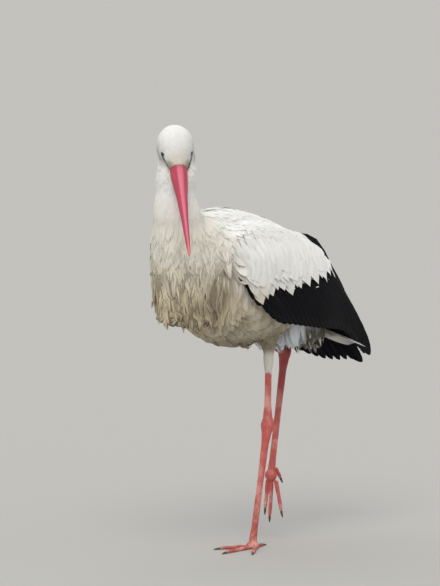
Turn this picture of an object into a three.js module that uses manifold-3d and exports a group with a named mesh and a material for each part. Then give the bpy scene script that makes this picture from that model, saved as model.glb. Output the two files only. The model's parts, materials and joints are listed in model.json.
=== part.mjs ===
// A white stork at life size, in millimetres, +Z up. It faces -Y and its left side is +X.
// It stands on its left leg in mid-step, with the right leg swinging forward and its toes hanging.
// The neck is drawn in, and the head is turned to the left with the bill pointing down.
// Heights are measured from the floor. Stations along Y are counted from below the fullest part
// of the belly, and the whole bird is moved to its origin at the end.

import * as THREE from 'three';
import Module from 'manifold-3d';
import { mergeVertices } from 'three/addons/utils/BufferGeometryUtils.js';

const wasm = await Module();
wasm.setup();

// ---------------------------------------------------------------- driving dimensions

const GAP = 0.3; // clearance between neighbouring pieces
const REACH = 2000; // past every edge of the bird, for cuts right through it

// Head and bill
const HEAD_CENTRE = [4, -204, 717];
const HEAD_TURN = 48.7; // degrees to the bird's left
const HEAD_DIP = 52.8; // degrees below level
const HEAD_FRONT = 40; // from the head's centre to the base of the bill
const BILL_LENGTH = 172;
const BILL_HALF_WIDTH = 15;
const UPPER_BILL_DEPTH = 15;
const LOWER_BILL_DEPTH = 12;
const EYE_RADIUS = 6.6;
const EYE_PLACE = [21.2, -13.5, 6]; // in the head: to the side, forward as -Y, and up

// Body
const BODY_FRONT = -212;
const BODY_REAR = 232;
const SHOULDER_CUT = -132; // the neck and breast end and the trunk begins
const THROAT_HEIGHT = 672; // the head ends and the neck begins
const CROP_HEIGHT = 592; // the neck ends and the breast begins

// Wings
const WING_FRONT = -165;
const FLIGHT_FRONT = -121;
const COVERTS_REAR = 216;
const WING_REAR = 344;
const FLIGHT_THICKNESS = 6;
const COVERTS_THICKNESS = 16;
const CREST_BURIED = 9; // the white feathers' upper edge lies this deep under the mantle
const COVERTS_LOWEST = -74; // the white feathers reach lowest here
const COVERT_PITCH = 26; // between two pointed feather tips

// Legs: joints as left, back and up
const FOOT_LEFT = [4, 10, 9];
const ANKLE_LEFT = [13, 40, 212];
const KNEE_LEFT = [40, 11, 446];
const FOOT_RIGHT = [-26, 100, 114];
const ANKLE_RIGHT = [-36, 152, 324];
const KNEE_RIGHT = [-46, -48, 412];
const ANKLE_KNOB = [12, 11, 19]; // half sizes: across, fore and aft, along the leg
const SHANK_RADIUS = 5.6;
const TARSUS_RADIUS = 5.3;
const FEATHERS_START_LEFT = 96; // from the ankle up the shank
const FEATHERS_START_RIGHT = 84;
const PALM_HALF = [12.5, 10, 7.5]; // half sizes of the ball of the foot
const PALM_RISE = 5; // from the sole to the middle of the ball
const MIDDLE_TOE_START = 10.3; // from the joint to the root of the middle toe and the hallux
const SIDE_TOE_START = 9.5;
const TOE_RADIUS = 3.5;
const TOE_TAPER = 0.22; // share of the radius lost along a toe
const KNUCKLE = 0.5; // a knuckle stands this far out
const CLAW_LENGTH = 12;

// Tail
const TAIL_ROOT = [0, 130, 387];
const TAIL_TIP = [0, 311, 321];

// Facets round a section, and steps along it
const BODY_SIDES = 16;
const BODY_STEPS = 14;
const HEAD_SIDES = 12;
const THIGH_SIDES = 10;
const LEG_SIDES = 8;
const TOE_STEPS = 4;
const SECTION_STEPS = 5; // down a wing
const FLIGHT_STEPS = 16; // along a wing

// ---------------------------------------------------------------- small tools

const vector = (values) => new THREE.Vector3(...values);

// A smooth curve of one value along a station, through [station, value] pairs.
function profile(pairs) {
  const at = pairs.map(([station]) => station);
  const value = pairs.map(([, height]) => height);
  const last = at.length - 1;
  const slope = at.map((_, i) => {
    const before = Math.max(i - 1, 0);
    const after = Math.min(i + 1, last);
    return (value[after] - value[before]) / (at[after] - at[before]);
  });
  return (station) => {
    const s = THREE.MathUtils.clamp(station, at[0], at[last]);
    let i = 0;
    while (i < last - 1 && s > at[i + 1]) {
      i += 1;
    }
    const span = at[i + 1] - at[i];
    const t = (s - at[i]) / span;
    const rise = value[i + 1] - value[i];
    const a = slope[i] * span - rise;
    const b = rise - slope[i + 1] * span;
    return value[i] + rise * t + t * (1 - t) * (a * (1 - t) + b * t);
  };
}

// Evenly spaced stations from one value to another, both included.
function stations(from, to, steps) {
  return Array.from({ length: steps + 1 }, (_, i) => from + ((to - from) * i) / steps);
}

// Turns the faces out if the closed surface was made inside out.
function facingOut(geometry) {
  const position = geometry.attributes.position;
  const index = geometry.index.array;
  const [a, b, c] = [new THREE.Vector3(), new THREE.Vector3(), new THREE.Vector3()];
  let volume = 0;
  for (let i = 0; i < index.length; i += 3) {
    a.fromBufferAttribute(position, index[i]);
    b.fromBufferAttribute(position, index[i + 1]);
    c.fromBufferAttribute(position, index[i + 2]);
    volume += a.dot(b.cross(c));
  }
  if (volume < 0) {
    for (let i = 0; i < index.length; i += 3) {
      [index[i + 1], index[i + 2]] = [index[i + 2], index[i + 1]];
    }
  }
  return geometry;
}

// A closed surface through rings of points. A round ring is closed by a fan, and the ring of
// a shell, which runs down its outer side and back up its inner side, by a strip.
function loft(rings, isShell = false) {
  const count = rings[0].length;
  const points = rings.flat();
  const faces = [];
  for (let ring = 0; ring < rings.length - 1; ring += 1) {
    for (let i = 0; i < count; i += 1) {
      const a = ring * count + i;
      const b = ring * count + ((i + 1) % count);
      faces.push(a, b, b + count, a, b + count, a + count);
    }
  }
  for (const [first, flip] of [[0, true], [(rings.length - 1) * count, false]]) {
    const cap = [];
    if (isShell) {
      for (let i = 0; i < count / 2 - 1; i += 1) {
        const across = count - 1 - i;
        cap.push([i, i + 1, across - 1], [i, across - 1, across]);
      }
    } else {
      const middle = new THREE.Vector3();
      for (let i = 0; i < count; i += 1) {
        middle.add(points[first + i]);
        cap.push([i, (i + 1) % count, points.length - first]);
      }
      points.push(middle.divideScalar(count));
    }
    for (const [a, b, c] of cap) {
      faces.push(first + a, first + (flip ? c : b), first + (flip ? b : c));
    }
  }
  const geometry = new THREE.BufferGeometry().setFromPoints(points);
  geometry.setIndex(faces);
  return facingOut(geometry);
}

function solid(geometry) {
  const bare = geometry.clone();
  bare.deleteAttribute('normal');
  bare.deleteAttribute('uv');
  const merged = mergeVertices(bare, 1e-4);
  return new wasm.Manifold(new wasm.Mesh({
    numProp: 3,
    vertProperties: new Float32Array(merged.attributes.position.array),
    triVerts: new Uint32Array(merged.index.array),
  }));
}

function geometryOf(body) {
  const mesh = body.getMesh();
  const geometry = new THREE.BufferGeometry();
  geometry.setAttribute('position', new THREE.BufferAttribute(mesh.vertProperties, 3));
  geometry.setIndex(new THREE.BufferAttribute(mesh.triVerts, 1));
  geometry.computeVertexNormals();
  return geometry;
}

// The largest piece of a cut solid, without slivers.
function mainPiece(body) {
  return body.decompose().reduce((best, piece) => (piece.volume() > best.volume() ? piece : best));
}

// A block between two corners, for parting the body.
function block(low, high) {
  const size = vector(high).sub(vector(low));
  const box = new THREE.BoxGeometry(size.x, size.y, size.z);
  const middle = vector(low).add(vector(high)).divideScalar(2);
  return solid(box.translate(middle.x, middle.y, middle.z));
}

// A ring of points round a centre, with half sizes along two directions.
function ring(centre, across, up, half, high, low, sides) {
  return Array.from({ length: sides }, (_, i) => {
    const angle = (2 * Math.PI * i) / sides;
    const rise = Math.sin(angle);
    return centre.clone()
      .addScaledVector(across, half * Math.cos(angle))
      .addScaledVector(up, (rise > 0 ? high : low) * rise);
  });
}

// A straight limb from one point to another, with [share of the length, half width, half depth].
function limb(from, to, girths, sides) {
  const along = to.clone().sub(from);
  const axis = along.clone().normalize();
  const across = new THREE.Vector3(1, 0, 0).addScaledVector(axis, -axis.x).normalize();
  const depth = new THREE.Vector3().crossVectors(axis, across);
  return loft(girths.map(([share, half, deep]) => ring(
    from.clone().addScaledVector(along, share),
    across, depth, half, deep, deep, sides,
  )));
}

// [Share of a lock's length, share of its full width].
const LOCK_SHAPE = [[0, 0.6], [0.45, 1], [1, 0.08]];

// A pointed lock of feathers: flat, widest near its middle, and bowed by its sag.
function lock(root, tip, width, thickness, sag, outward) {
  const along = tip.clone().sub(root);
  const across = new THREE.Vector3().crossVectors(along, outward).normalize();
  return loft(LOCK_SHAPE.map(([share, fullness]) => ring(
    root.clone().addScaledVector(along, share).addScaledVector(outward, sag * share * (1 - share)),
    across, outward, (width / 2) * fullness, (thickness / 2) * fullness,
    (thickness / 2) * fullness, 4,
  )));
}

// ---------------------------------------------------------------- materials

const plumageWhite = new THREE.MeshStandardMaterial({ color: 0xe9e7df, roughness: 0.85 });
const plumageCream = new THREE.MeshStandardMaterial({ color: 0xd9d0b6, roughness: 0.88 });
const plumageBlack = new THREE.MeshStandardMaterial({ color: 0x0d1013, roughness: 0.55 });
const billRed = new THREE.MeshStandardMaterial({ color: 0xc8505f, roughness: 0.45 });
const legRed = new THREE.MeshStandardMaterial({ color: 0xc95a4e, roughness: 0.6 });
const clawBrown = new THREE.MeshStandardMaterial({ color: 0x4a3831, roughness: 0.5 });
const eyeBlack = new THREE.MeshStandardMaterial({ color: 0x070605, roughness: 0.1 });

const stork = new THREE.Group();

function add(parent, name, shape, material) {
  const mesh = new THREE.Mesh(shape.isBufferGeometry ? shape : geometryOf(shape), material);
  mesh.name = name;
  parent.add(mesh);
}

// ---------------------------------------------------------------- the body's own outline

// Height of the back along the middle of the body.
const backLine = profile([
  [-212, 585], [-141, 607], [-60, 603], [10, 586], [98, 553], [150, 523],
  [190, 492], [232, 441], [276, 399], [318, 353], [344, 312],
]);

// Height of the breast, belly and vent.
const bellyLine = profile([
  [-212, 470], [-190, 425], [-124, 377], [-77, 356], [-46, 351], [43, 356],
  [110, 352], [165, 343], [205, 356], [232, 388],
]);

const trunkHalfWidth = profile([
  [-212, 8], [-195, 38], [-165, 64], [-130, 77], [-80, 82], [0, 80],
  [60, 75], [110, 65], [150, 52], [190, 37], [215, 24], [232, 7],
]);

// The trunk's back lies lower where the wings close over it.
const underWings = profile([[60, 0], [130, 9], [190, 14], [232, 26]]);

const WIDEST_SHARE = 0.46; // the trunk is widest this far up from the belly to the back
const END_SHARE = 0.35; // its first and last rings are drawn in to this share of their height

function trunk(grow) {
  const across = new THREE.Vector3(1, 0, 0);
  const up = new THREE.Vector3(0, 0, 1);
  return solid(loft(stations(BODY_FRONT, BODY_REAR, BODY_STEPS).map((y) => {
    const top = backLine(y) - underWings(y);
    const belly = bellyLine(y);
    const centre = new THREE.Vector3(0, y, belly + (top - belly) * WIDEST_SHARE);
    const isEnd = y === BODY_FRONT || y === BODY_REAR;
    const half = trunkHalfWidth(y) + grow;
    const share = isEnd ? END_SHARE : 1;
    return ring(
      centre.setY(y + (isEnd ? grow * Math.sign(y) : 0)), across, up, half,
      (top - centre.z) * share + grow, (centre.z - belly) * share + grow, BODY_SIDES,
    );
  })));
}

// Neck and breast as one upright column: [height, middle along Y, half width, half depth].
const COLUMN = [
  [716, -193, 28, 22], [701, -194, 31.5, 27], [680, -196, 32.5, 30], [655, -199, 33.5, 32],
  [627, -199, 37, 38],
  [590, -192, 46, 50], [555, -182, 56, 60], [510, -175, 62, 68], [460, -173, 60, 64],
  [425, -171, 55, 58], [402, -168, 40, 44],
];

function column(grow) {
  const across = new THREE.Vector3(1, 0, 0);
  const back = new THREE.Vector3(0, 1, 0);
  return solid(loft(COLUMN.map(([z, y, half, deep]) => ring(
    new THREE.Vector3(0, y, z), across, back, half + grow, deep + grow, deep + grow, BODY_SIDES,
  ))));
}

// Head in its own frame: [forward, half width, crown, jaw].
const HEAD = [
  [-43, 6, 7, 7], [-39, 17, 17, 18], [-28, 27.5, 27, 27], [-12, 32.5, 31, 31], [4, 32, 30, 29],
  [17, 27.5, 25.5, 25], [29, 21.5, 19, 20], [HEAD_FRONT, 15.5, 15, 14.5],
];

const headTurn = new THREE.Euler(
  THREE.MathUtils.degToRad(HEAD_DIP), 0, THREE.MathUtils.degToRad(HEAD_TURN), 'ZXY',
);

function headMatrix() {
  return new THREE.Matrix4().makeRotationFromEuler(headTurn).setPosition(...HEAD_CENTRE);
}

function headShape() {
  const across = new THREE.Vector3(1, 0, 0);
  const up = new THREE.Vector3(0, 0, 1);
  const shape = loft(HEAD.map(([forward, half, crown, jaw]) => ring(
    new THREE.Vector3(0, -forward, 0), across, up, half, crown, jaw, HEAD_SIDES,
  )));
  return solid(shape.applyMatrix4(headMatrix()));
}

// ---------------------------------------------------------------- hanging plumes

// Long breast plumes hang round the foot of the column, from its right side over its front to
// its left side.
const BREAST_PLUMES = {
  degrees: [-205, -187, -172, -150, -131, -108, -92, -71, -50, -33, -12, 6, 25],
  tipHeights: [393, 406, 396, 403, 391, 408, 394, 402, 390, 405, 398, 393, 404],
  middle: -171, // of the ring they hang in, along Y
  rootHalf: [46, 49],
  tipHalf: [50, 54],
  length: 60,
  width: 21,
  thickness: 12,
  sag: 16,
};

function breastPlumes() {
  const { degrees, tipHeights, middle, length, width, thickness, sag } = BREAST_PLUMES;
  return degrees.map((turn, i) => {
    const angle = THREE.MathUtils.degToRad(turn);
    const outward = new THREE.Vector3(Math.cos(angle), Math.sin(angle), 0);
    const place = ([half, deep], height) => new THREE.Vector3(
      half * outward.x, middle + deep * outward.y, height,
    );
    const root = place(BREAST_PLUMES.rootHalf, tipHeights[i] + length);
    const tip = place(BREAST_PLUMES.tipHalf, tipHeights[i]);
    return solid(lock(root, tip, width, thickness, sag, outward));
  });
}

// A few plumes stand off the right side of the breast.
function looseBreastPlumes() {
  const outward = new THREE.Vector3(-0.75, -0.66, 0);
  return [[481, 0], [447, 5]].map(([height, back]) => {
    const root = new THREE.Vector3(-41, -213 + back, height + 34);
    const tip = new THREE.Vector3(-51, -224 + back, height);
    return solid(lock(root, tip, 14, 7, 5, outward));
  });
}

// Belly and flank plumes point back and down.
function bellyPlumes() {
  const plumes = [];
  for (const side of [-1, 1]) {
    for (const [y, x, drop] of [[-105, 30, 9], [-70, 34, 10], [-35, 38, 9], [0, 42, 8]]) {
      const outward = new THREE.Vector3(0.62 * side, 0, -0.78);
      const root = new THREE.Vector3(side * x, y, bellyLine(y) + 22);
      const tip = new THREE.Vector3(side * (x + 1), y + 42, bellyLine(y + 42) + 12 - drop);
      plumes.push(solid(lock(root, tip, 24, 12, 8, outward)));
    }
  }
  return plumes;
}

// The soft plumes of the vent hang in ragged points.
function ventPlumes() {
  const outward = new THREE.Vector3(0, 0.2, -1).normalize();
  const places = [[4, 88, 18], [-22, 92, 14], [26, 104, 14], [6, 118, 22], [-18, 128, 20],
    [22, 138, 24], [0, 150, 24], [-16, 162, 16], [18, 168, 20], [2, 184, 12]];
  return places.map(([x, y, drop]) => {
    const root = new THREE.Vector3(x, y - 20, bellyLine(y - 20) + 12);
    const tip = new THREE.Vector3(x * 1.1, y + 8, bellyLine(y) - drop);
    return solid(lock(root, tip, 20, 11, 6, outward));
  });
}

// ---------------------------------------------------------------- wings

const wingHalfWidth = profile([
  [-165, 58], [-150, 71], [-135, 81], [-117, 87], [-72, 90], [0, 88], [60, 83], [120, 74],
  [160, 63], [188, 53], [216, 45], [250, 34], [276, 26], [318, 15], [344, 9],
]);

// Height at which a wing is widest.
const wingBelt = profile([
  [-165, 520], [-100, 498], [0, 470], [100, 440], [200, 412], [276, 362], [318, 324], [344, 306],
]);

// Where the white feathers end over the black ones.
const boundaryLeft = profile([
  [-165, 512], [-117, 486], [-72, 443], [-30, 470], [0, 462], [30, 452], [121, 452],
  [188, 458], [216, 459],
]);
const boundaryRight = profile([
  [-165, 512], [-117, 486], [-72, 443], [-30, 470], [30, 456], [121, 462],
  [165, 484], [190, 490], [216, 459],
]);

const WINGS = {
  left: {
    side: 1,
    ridge: backLine,
    edge: profile([
      [-165, 510], [-117, 481], [-72, 437], [-33, 411], [0, 400], [100, 380], [204, 363],
      [250, 349], [290, 323], [318, 303], [344, 297],
    ]),
    boundary: boundaryLeft,
  },
  right: {
    side: -1,
    // The tertials of this wing stand higher over the rump, and its rear edge hangs lower.
    ridge: (y) => backLine(y) + 24 * Math.exp(-(((y - 222) / 30) ** 2)),
    edge: profile([
      [-165, 510], [-117, 481], [-72, 437], [-33, 411], [0, 398], [100, 364], [180, 330],
      [243, 302], [290, 293], [318, 292], [344, 281],
    ]),
    boundary: boundaryRight,
  },
};

// The white feathers lie on the black ones, and sink into the breast at their front.
const covertsProud = profile([[-165, -4], [-130, 1], [-80, 5], [216, 5]]);

// The upper edge of the white feathers lies this far below the ridge.
const mantleDrop = profile([
  [-165, 78], [-150, 58], [-120, 36], [-80, 20], [0, 12], [80, 7], [130, 0], [216, 0],
]);

// Depth of the points of the white feathers.
const covertTip = profile([[-165, 15], [120, 15], [180, 8], [216, 4]]);

const MIDLINE = 0.5; // a folded wing stays this far from the middle of the bird
const HANG_THINNING = 0.45; // how much thinner a wing gets towards its lower edge
const COVERTS_OVER_FLIGHT = 26; // the flight feathers start this far under the white ones
const WING_TIP_SHARE = 0.65; // thickness of the flight feathers at the wing tip
const TUCK = 0.07; // how far the hanging part of a wing draws in, for each unit that it hangs

// One cross section of a wing's shell at a station, from the crest down to the edge on its outer
// side, then back up its inner side. Above the belt it is an arc, and below it hangs straight.
// The crest can be buried, so that it comes out of the body without a step.
function wingSection(wing, y, crest, edge, outset, thickness, buried = 0) {
  const belt = wingBelt(y);
  const rise = wing.ridge(y) - belt;
  const angleAt = (height) => (height > belt
    ? Math.acos(Math.min((height - belt) / rise, 1))
    : Math.PI / 2 + (belt - height) / rise);
  const angles = stations(angleAt(crest), angleAt(edge), SECTION_STEPS);
  const line = (depth) => angles.map((angle, i) => {
    const inset = i === 0 ? depth + buried : depth;
    const hang = Math.max(angle - Math.PI / 2, 0) * rise;
    if (hang > 0) {
      const thinner = inset > 0 ? inset * (1 - HANG_THINNING * (hang / rise)) : inset;
      return [wingHalfWidth(y) - thinner - hang * TUCK, belt - hang];
    }
    return [(wingHalfWidth(y) - inset) * Math.sin(angle), belt + (rise - inset) * Math.cos(angle)];
  });
  const outline = [...line(-outset), ...line(thickness - outset).reverse()];
  return outline.map(([x, z]) => new THREE.Vector3(wing.side * Math.max(x, MIDLINE), y, z));
}

function flightFeathers(wing, grow) {
  const rows = stations(FLIGHT_FRONT, WING_REAR, FLIGHT_STEPS).map((y) => {
    const ridge = wing.ridge(y);
    const covered = wing.boundary(y) + COVERTS_OVER_FLIGHT;
    const crest = y < COVERTS_REAR ? Math.min(ridge, covered) : ridge;
    const share = THREE.MathUtils.mapLinear(y, FLIGHT_FRONT, WING_REAR, 1, WING_TIP_SHARE);
    return wingSection(
      wing, y, crest + grow, wing.edge(y) - grow, grow, FLIGHT_THICKNESS * share + 2 * grow,
    );
  });
  return solid(loft(rows, true));
}

const LEAST_COVERT_HEIGHT = 5;
const COVERT_FRONT_STEPS = 4;

function coverts(wing) {
  const front = stations(WING_FRONT, COVERTS_LOWEST, COVERT_FRONT_STEPS).slice(0, -1);
  const tipCount = Math.round((COVERTS_REAR - COVERTS_LOWEST) / COVERT_PITCH);
  const tips = stations(COVERTS_LOWEST, COVERTS_REAR, 2 * tipCount);
  const rows = [...front, ...tips].map((y, i) => {
    const crest = wing.ridge(y) - mantleDrop(y);
    const isTip = i >= front.length && (i - front.length) % 2 === 1;
    const isNotch = i >= front.length && !isTip;
    const point = isTip ? -covertTip(y) / 2 : 0;
    const notch = isNotch ? covertTip(y) / 2 : 0;
    const edge = Math.min(wing.boundary(y) + point + notch, crest - LEAST_COVERT_HEIGHT);
    return wingSection(wing, y, crest, edge, covertsProud(y), COVERTS_THICKNESS, CREST_BURIED);
  });
  return solid(loft(rows, true));
}

// ---------------------------------------------------------------- tail

// [Share of the tail's length, half width, half thickness].
const TAIL_GIRTHS = [[0, 20, 12], [0.3, 30, 9], [0.6, 36, 6], [0.9, 33, 4], [1, 26, 2.5]];

function tail() {
  return solid(limb(vector(TAIL_ROOT), vector(TAIL_TIP), TAIL_GIRTHS, HEAD_SIDES));
}

// ---------------------------------------------------------------- feet

// Toes as [name, place of its root to the side, splay in degrees, length with claw]. Both count
// towards the outside of the bird. A foot's frame has its sole at zero height and points to -Y.
const FEET = {
  left: {
    side: 1,
    place: [FOOT_LEFT[0], FOOT_LEFT[1], 0],
    pitch: 0,
    toes: [['inner', -5.5, -35, 66], ['middle', 0, -1, 84], ['outer', 5.5, 34, 70]],
    hallux: { place: [0, 0, 0], tilt: 0, splay: 186, length: 44 },
    curl: 0,
  },
  right: {
    side: -1,
    place: [FOOT_RIGHT[0], FOOT_RIGHT[1] + PALM_RISE, FOOT_RIGHT[2]],
    pitch: 88,
    toes: [['inner', -6.5, -17, 74], ['middle', 0, 0, 82], ['outer', 8.3, 2, 70]],
    hallux: { place: [0, 17, 1], tilt: -141, splay: 182, length: 43 },
    curl: 5,
  },
};

function footMatrix({ place, pitch }) {
  const matrix = new THREE.Matrix4().makeRotationX(THREE.MathUtils.degToRad(pitch));
  return matrix.setPosition(...place);
}

// The ball of the foot, cut flat at the sole.
function palm(feet) {
  const shape = new THREE.SphereGeometry(1, 10, 6);
  shape.scale(...PALM_HALF);
  const ball = solid(shape.translate(0, 0, PALM_RISE));
  const flat = ball.intersect(block([-REACH, -REACH, 0], [REACH, REACH, REACH]));
  return solid(geometryOf(flat).applyMatrix4(footMatrix(feet)));
}

// A toe along its own -Y with a bulge at each knuckle, flat where it meets the sole's level.
function toe(length, start, curl) {
  return loft(stations(start, length - CLAW_LENGTH, TOE_STEPS).map((reach, i) => {
    const isKnuckle = i % 2 === 1;
    const girth = TOE_RADIUS * (1 - (TOE_TAPER * i) / TOE_STEPS) + (isKnuckle ? KNUCKLE : 0);
    const lift = curl * (reach / length) ** 2;
    const centre = new THREE.Vector3(0, -reach, girth * Math.SQRT1_2 + lift);
    const across = new THREE.Vector3(1, 0, 0);
    return ring(centre, across, new THREE.Vector3(0, 0, 1), girth, girth, girth, LEG_SIDES)
      .map((point) => point.setZ(Math.max(point.z, lift)));
  }));
}

// [Share of a claw's length, half width, half height].
const CLAW_GIRTHS = [[0, 2.6, 2.4], [0.5, 2.2, 1.9], [1, 0.9, 0.7]];

function claw(length, curl) {
  return loft(CLAW_GIRTHS.map(([share, half, high]) => {
    const reach = length - CLAW_LENGTH + GAP + (CLAW_LENGTH - GAP) * share;
    const lift = curl * (reach / length) ** 2;
    const centre = new THREE.Vector3(0, -reach, high * Math.sin(Math.PI / 3) + lift);
    const across = new THREE.Vector3(1, 0, 0);
    return ring(centre, across, new THREE.Vector3(0, 0, 1), half, high, high, 6)
      .map((point) => point.setZ(Math.max(point.z, lift)));
  }));
}

function foot(name) {
  const { side, place, pitch, toes, hallux, curl } = FEET[name];
  const group = new THREE.Group();
  group.position.set(...place);
  group.rotation.x = THREE.MathUtils.degToRad(pitch);
  for (const [toeName, root, splay, length] of toes) {
    const turned = new THREE.Group();
    turned.position.x = side * root;
    turned.rotation.z = side * THREE.MathUtils.degToRad(splay);
    const start = root === 0 ? MIDDLE_TOE_START : SIDE_TOE_START;
    add(turned, `toe_${name}_${toeName}`, toe(length, start, curl), legRed);
    add(turned, `claw_${name}_${toeName}`, claw(length, curl), clawBrown);
    group.add(turned);
  }
  const tilted = new THREE.Group();
  tilted.position.set(...hallux.place);
  tilted.rotation.x = THREE.MathUtils.degToRad(hallux.tilt);
  const back = new THREE.Group();
  back.rotation.z = side * THREE.MathUtils.degToRad(hallux.splay);
  add(back, `toe_${name}_hallux`, toe(hallux.length, MIDDLE_TOE_START, 0), legRed);
  add(back, `claw_${name}_hallux`, claw(hallux.length, 0), clawBrown);
  tilted.add(back);
  group.add(tilted);
  return group;
}

// ---------------------------------------------------------------- legs

// [Share of the way from the foot to the ankle, half width, half depth].
const TARSUS_GIRTHS = [
  [0, 7, 6.5], [0.06, 6.4, 6.6], [0.13, TARSUS_RADIUS, 6.1], [0.5, TARSUS_RADIUS - 0.3, 5.8],
  [0.85, 6.2, 6.8], [0.95, 9.5, 8.5],
];

function leg(name, footJoint, ankle, knee, feathersStart) {
  const shank = knee.clone().sub(ankle);
  const tarsus = ankle.clone().sub(footJoint);
  const knob = (grow) => {
    const shape = new THREE.SphereGeometry(1, 8, 6);
    shape.rotateX(Math.PI / 2);
    shape.scale(...ANKLE_KNOB.map((half) => half + grow));
    shape.applyQuaternion(new THREE.Quaternion().setFromUnitVectors(
      new THREE.Vector3(0, 0, 1), tarsus.clone().normalize(),
    ));
    return solid(shape.translate(ankle.x, ankle.y, ankle.z));
  };
  const lower = solid(limb(footJoint, ankle, TARSUS_GIRTHS, LEG_SIDES));
  const split = feathersStart / shank.length();
  const upper = solid(limb(ankle, knee, [
    [0, 9, 8.5], [0.08, 7.8, 7.6], [0.16, SHANK_RADIUS, 6.2],
    [split - GAP / shank.length(), SHANK_RADIUS, 6],
  ], LEG_SIDES));
  const thigh = solid(limb(ankle, knee, [
    [split, 6.2, 6.6], [split + 0.12, 8.6, 10], [split + 0.26, 12.5, 17], [split + 0.38, 18, 28],
    [split + 0.5, 22, 36],
  ], THIGH_SIDES));
  const tarsusSolid = lower.add(knob(0)).add(palm(FEET[name]));
  return { tarsus: tarsusSolid, shank: upper.subtract(knob(GAP)), thigh };
}

// ---------------------------------------------------------------- bill

const BILL_ARC = 6;
const LOWER_BILL_SHORTER = 1.5;

// [Share of the bill's length, share of its full section].
const BILL_TAPER = [
  [0, 1], [0.12, 0.94], [0.22, 0.8], [0.34, 0.63], [0.6, 0.39], [0.82, 0.25], [0.94, 0.16], [1, 0.05],
];

// One half of the bill along the head's -Y, flat on the side where the halves meet.
function billHalf(depth, direction, grow = 0) {
  const length = direction > 0 ? BILL_LENGTH : BILL_LENGTH - LOWER_BILL_SHORTER;
  return loft(BILL_TAPER.map(([share, fullness]) => {
    const points = [];
    for (let i = 0; i <= BILL_ARC; i += 1) {
      const angle = (Math.PI * i) / BILL_ARC;
      points.push(new THREE.Vector3(
        (BILL_HALF_WIDTH * fullness + grow) * Math.cos(angle),
        -(HEAD_FRONT + GAP - grow + share * length),
        direction * (GAP / 2 - grow + (depth * fullness + 2 * grow) * Math.sin(angle)),
      ));
    }
    return points;
  }));
}

// ---------------------------------------------------------------- assembly

const plumes = [...breastPlumes(), ...looseBreastPlumes(), ...bellyPlumes(), ...ventPlumes()];
const whole = plumes.reduce((body, plume) => body.add(plume), trunk(0).add(column(0)).add(headShape()));

const billRoom = solid(billHalf(UPPER_BILL_DEPTH, 1, GAP).applyMatrix4(headMatrix()))
  .add(solid(billHalf(LOWER_BILL_DEPTH, -1, GAP).applyMatrix4(headMatrix())));
const front = whole
  .intersect(block([-REACH, -REACH, -REACH], [REACH, SHOULDER_CUT, REACH]))
  .subtract(billRoom);
const slab = (low, high) => block([-REACH, -REACH, low], [REACH, REACH, high]);
let head = front.intersect(slab(THROAT_HEIGHT + GAP, REACH));
for (const side of [-1, 1]) {
  const [aside, forward, up] = EYE_PLACE;
  const socket = new THREE.SphereGeometry(EYE_RADIUS + GAP, 10, 6);
  socket.translate(side * aside, forward, up);
  head = head.subtract(solid(socket.applyMatrix4(headMatrix())));
}
add(stork, 'head', mainPiece(head), plumageWhite);
add(stork, 'neck', mainPiece(front.intersect(slab(CROP_HEIGHT + GAP, THROAT_HEIGHT))), plumageWhite);
add(stork, 'breast', mainPiece(front.intersect(slab(-REACH, CROP_HEIGHT))), plumageCream);

const rearCut = block([-REACH, SHOULDER_CUT + GAP, -REACH], [REACH, REACH, REACH]);
const bodyRoom = trunk(GAP).add(column(GAP));
const roomForPlumes = plumes.reduce((room, plume) => room.add(plume), bodyRoom);

const legs = {
  left: leg('left', vector(FOOT_LEFT), vector(ANKLE_LEFT), vector(KNEE_LEFT), FEATHERS_START_LEFT),
  right: leg(
    'right', vector(FOOT_RIGHT), vector(ANKLE_RIGHT), vector(KNEE_RIGHT), FEATHERS_START_RIGHT,
  ),
};

add(stork, 'trunk', mainPiece(whole.intersect(rearCut)), plumageWhite);

for (const [name, wing] of Object.entries(WINGS)) {
  const flight = flightFeathers(wing, 0).subtract(bodyRoom);
  add(stork, `wing_${name}_flight`, mainPiece(flight), plumageBlack);
  const white = coverts(wing).subtract(bodyRoom).subtract(flightFeathers(wing, GAP));
  add(stork, `wing_${name}_coverts`, mainPiece(white), plumageWhite);
}

const wingRoom = flightFeathers(WINGS.left, GAP).add(flightFeathers(WINGS.right, GAP));
add(stork, 'tail', mainPiece(tail().subtract(roomForPlumes).subtract(wingRoom)), plumageWhite);

for (const [name, { tarsus, shank, thigh }] of Object.entries(legs)) {
  add(stork, `thigh_${name}`, mainPiece(thigh.subtract(roomForPlumes)), plumageCream);
  add(stork, `shank_${name}`, mainPiece(shank), legRed);
  add(stork, `tarsus_${name}`, tarsus, legRed);
  stork.add(foot(name));
}

// Bill and eyes turn with the head.
const face = new THREE.Group();
face.position.set(...HEAD_CENTRE);
face.rotation.copy(headTurn);
add(face, 'bill_upper', billHalf(UPPER_BILL_DEPTH, 1), billRed);
add(face, 'bill_lower', billHalf(LOWER_BILL_DEPTH, -1), billRed);
for (const [name, side] of [['left', 1], ['right', -1]]) {
  const [aside, forward, up] = EYE_PLACE;
  const ball = new THREE.SphereGeometry(EYE_RADIUS, 10, 6);
  add(face, `eye_${name}`, ball.translate(side * aside, forward, up), eyeBlack);
}
stork.add(face);

// The origin is on the floor under the middle of the whole bird.
stork.updateMatrixWorld(true);
const extent = new THREE.Box3().setFromObject(stork, true);
const middle = extent.getCenter(new THREE.Vector3());
stork.position.set(-middle.x, -middle.y, -extent.min.z);
stork.updateMatrixWorld(true);

export default stork;
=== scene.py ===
"""A white stork as a still museum model, in metres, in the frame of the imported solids.

One skin takes the place of the solids of flesh. Feathers are thin closed vanes that grow from it
along the lie of the plumage. The bill, eyes, lids and claws are pieces of their own.
"""

import json
import math

import bmesh
import bpy
import numpy as np
from mathutils import Matrix, Vector, noise
from mathutils.bvhtree import BVHTree
from mathutils.kdtree import KDTree


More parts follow.
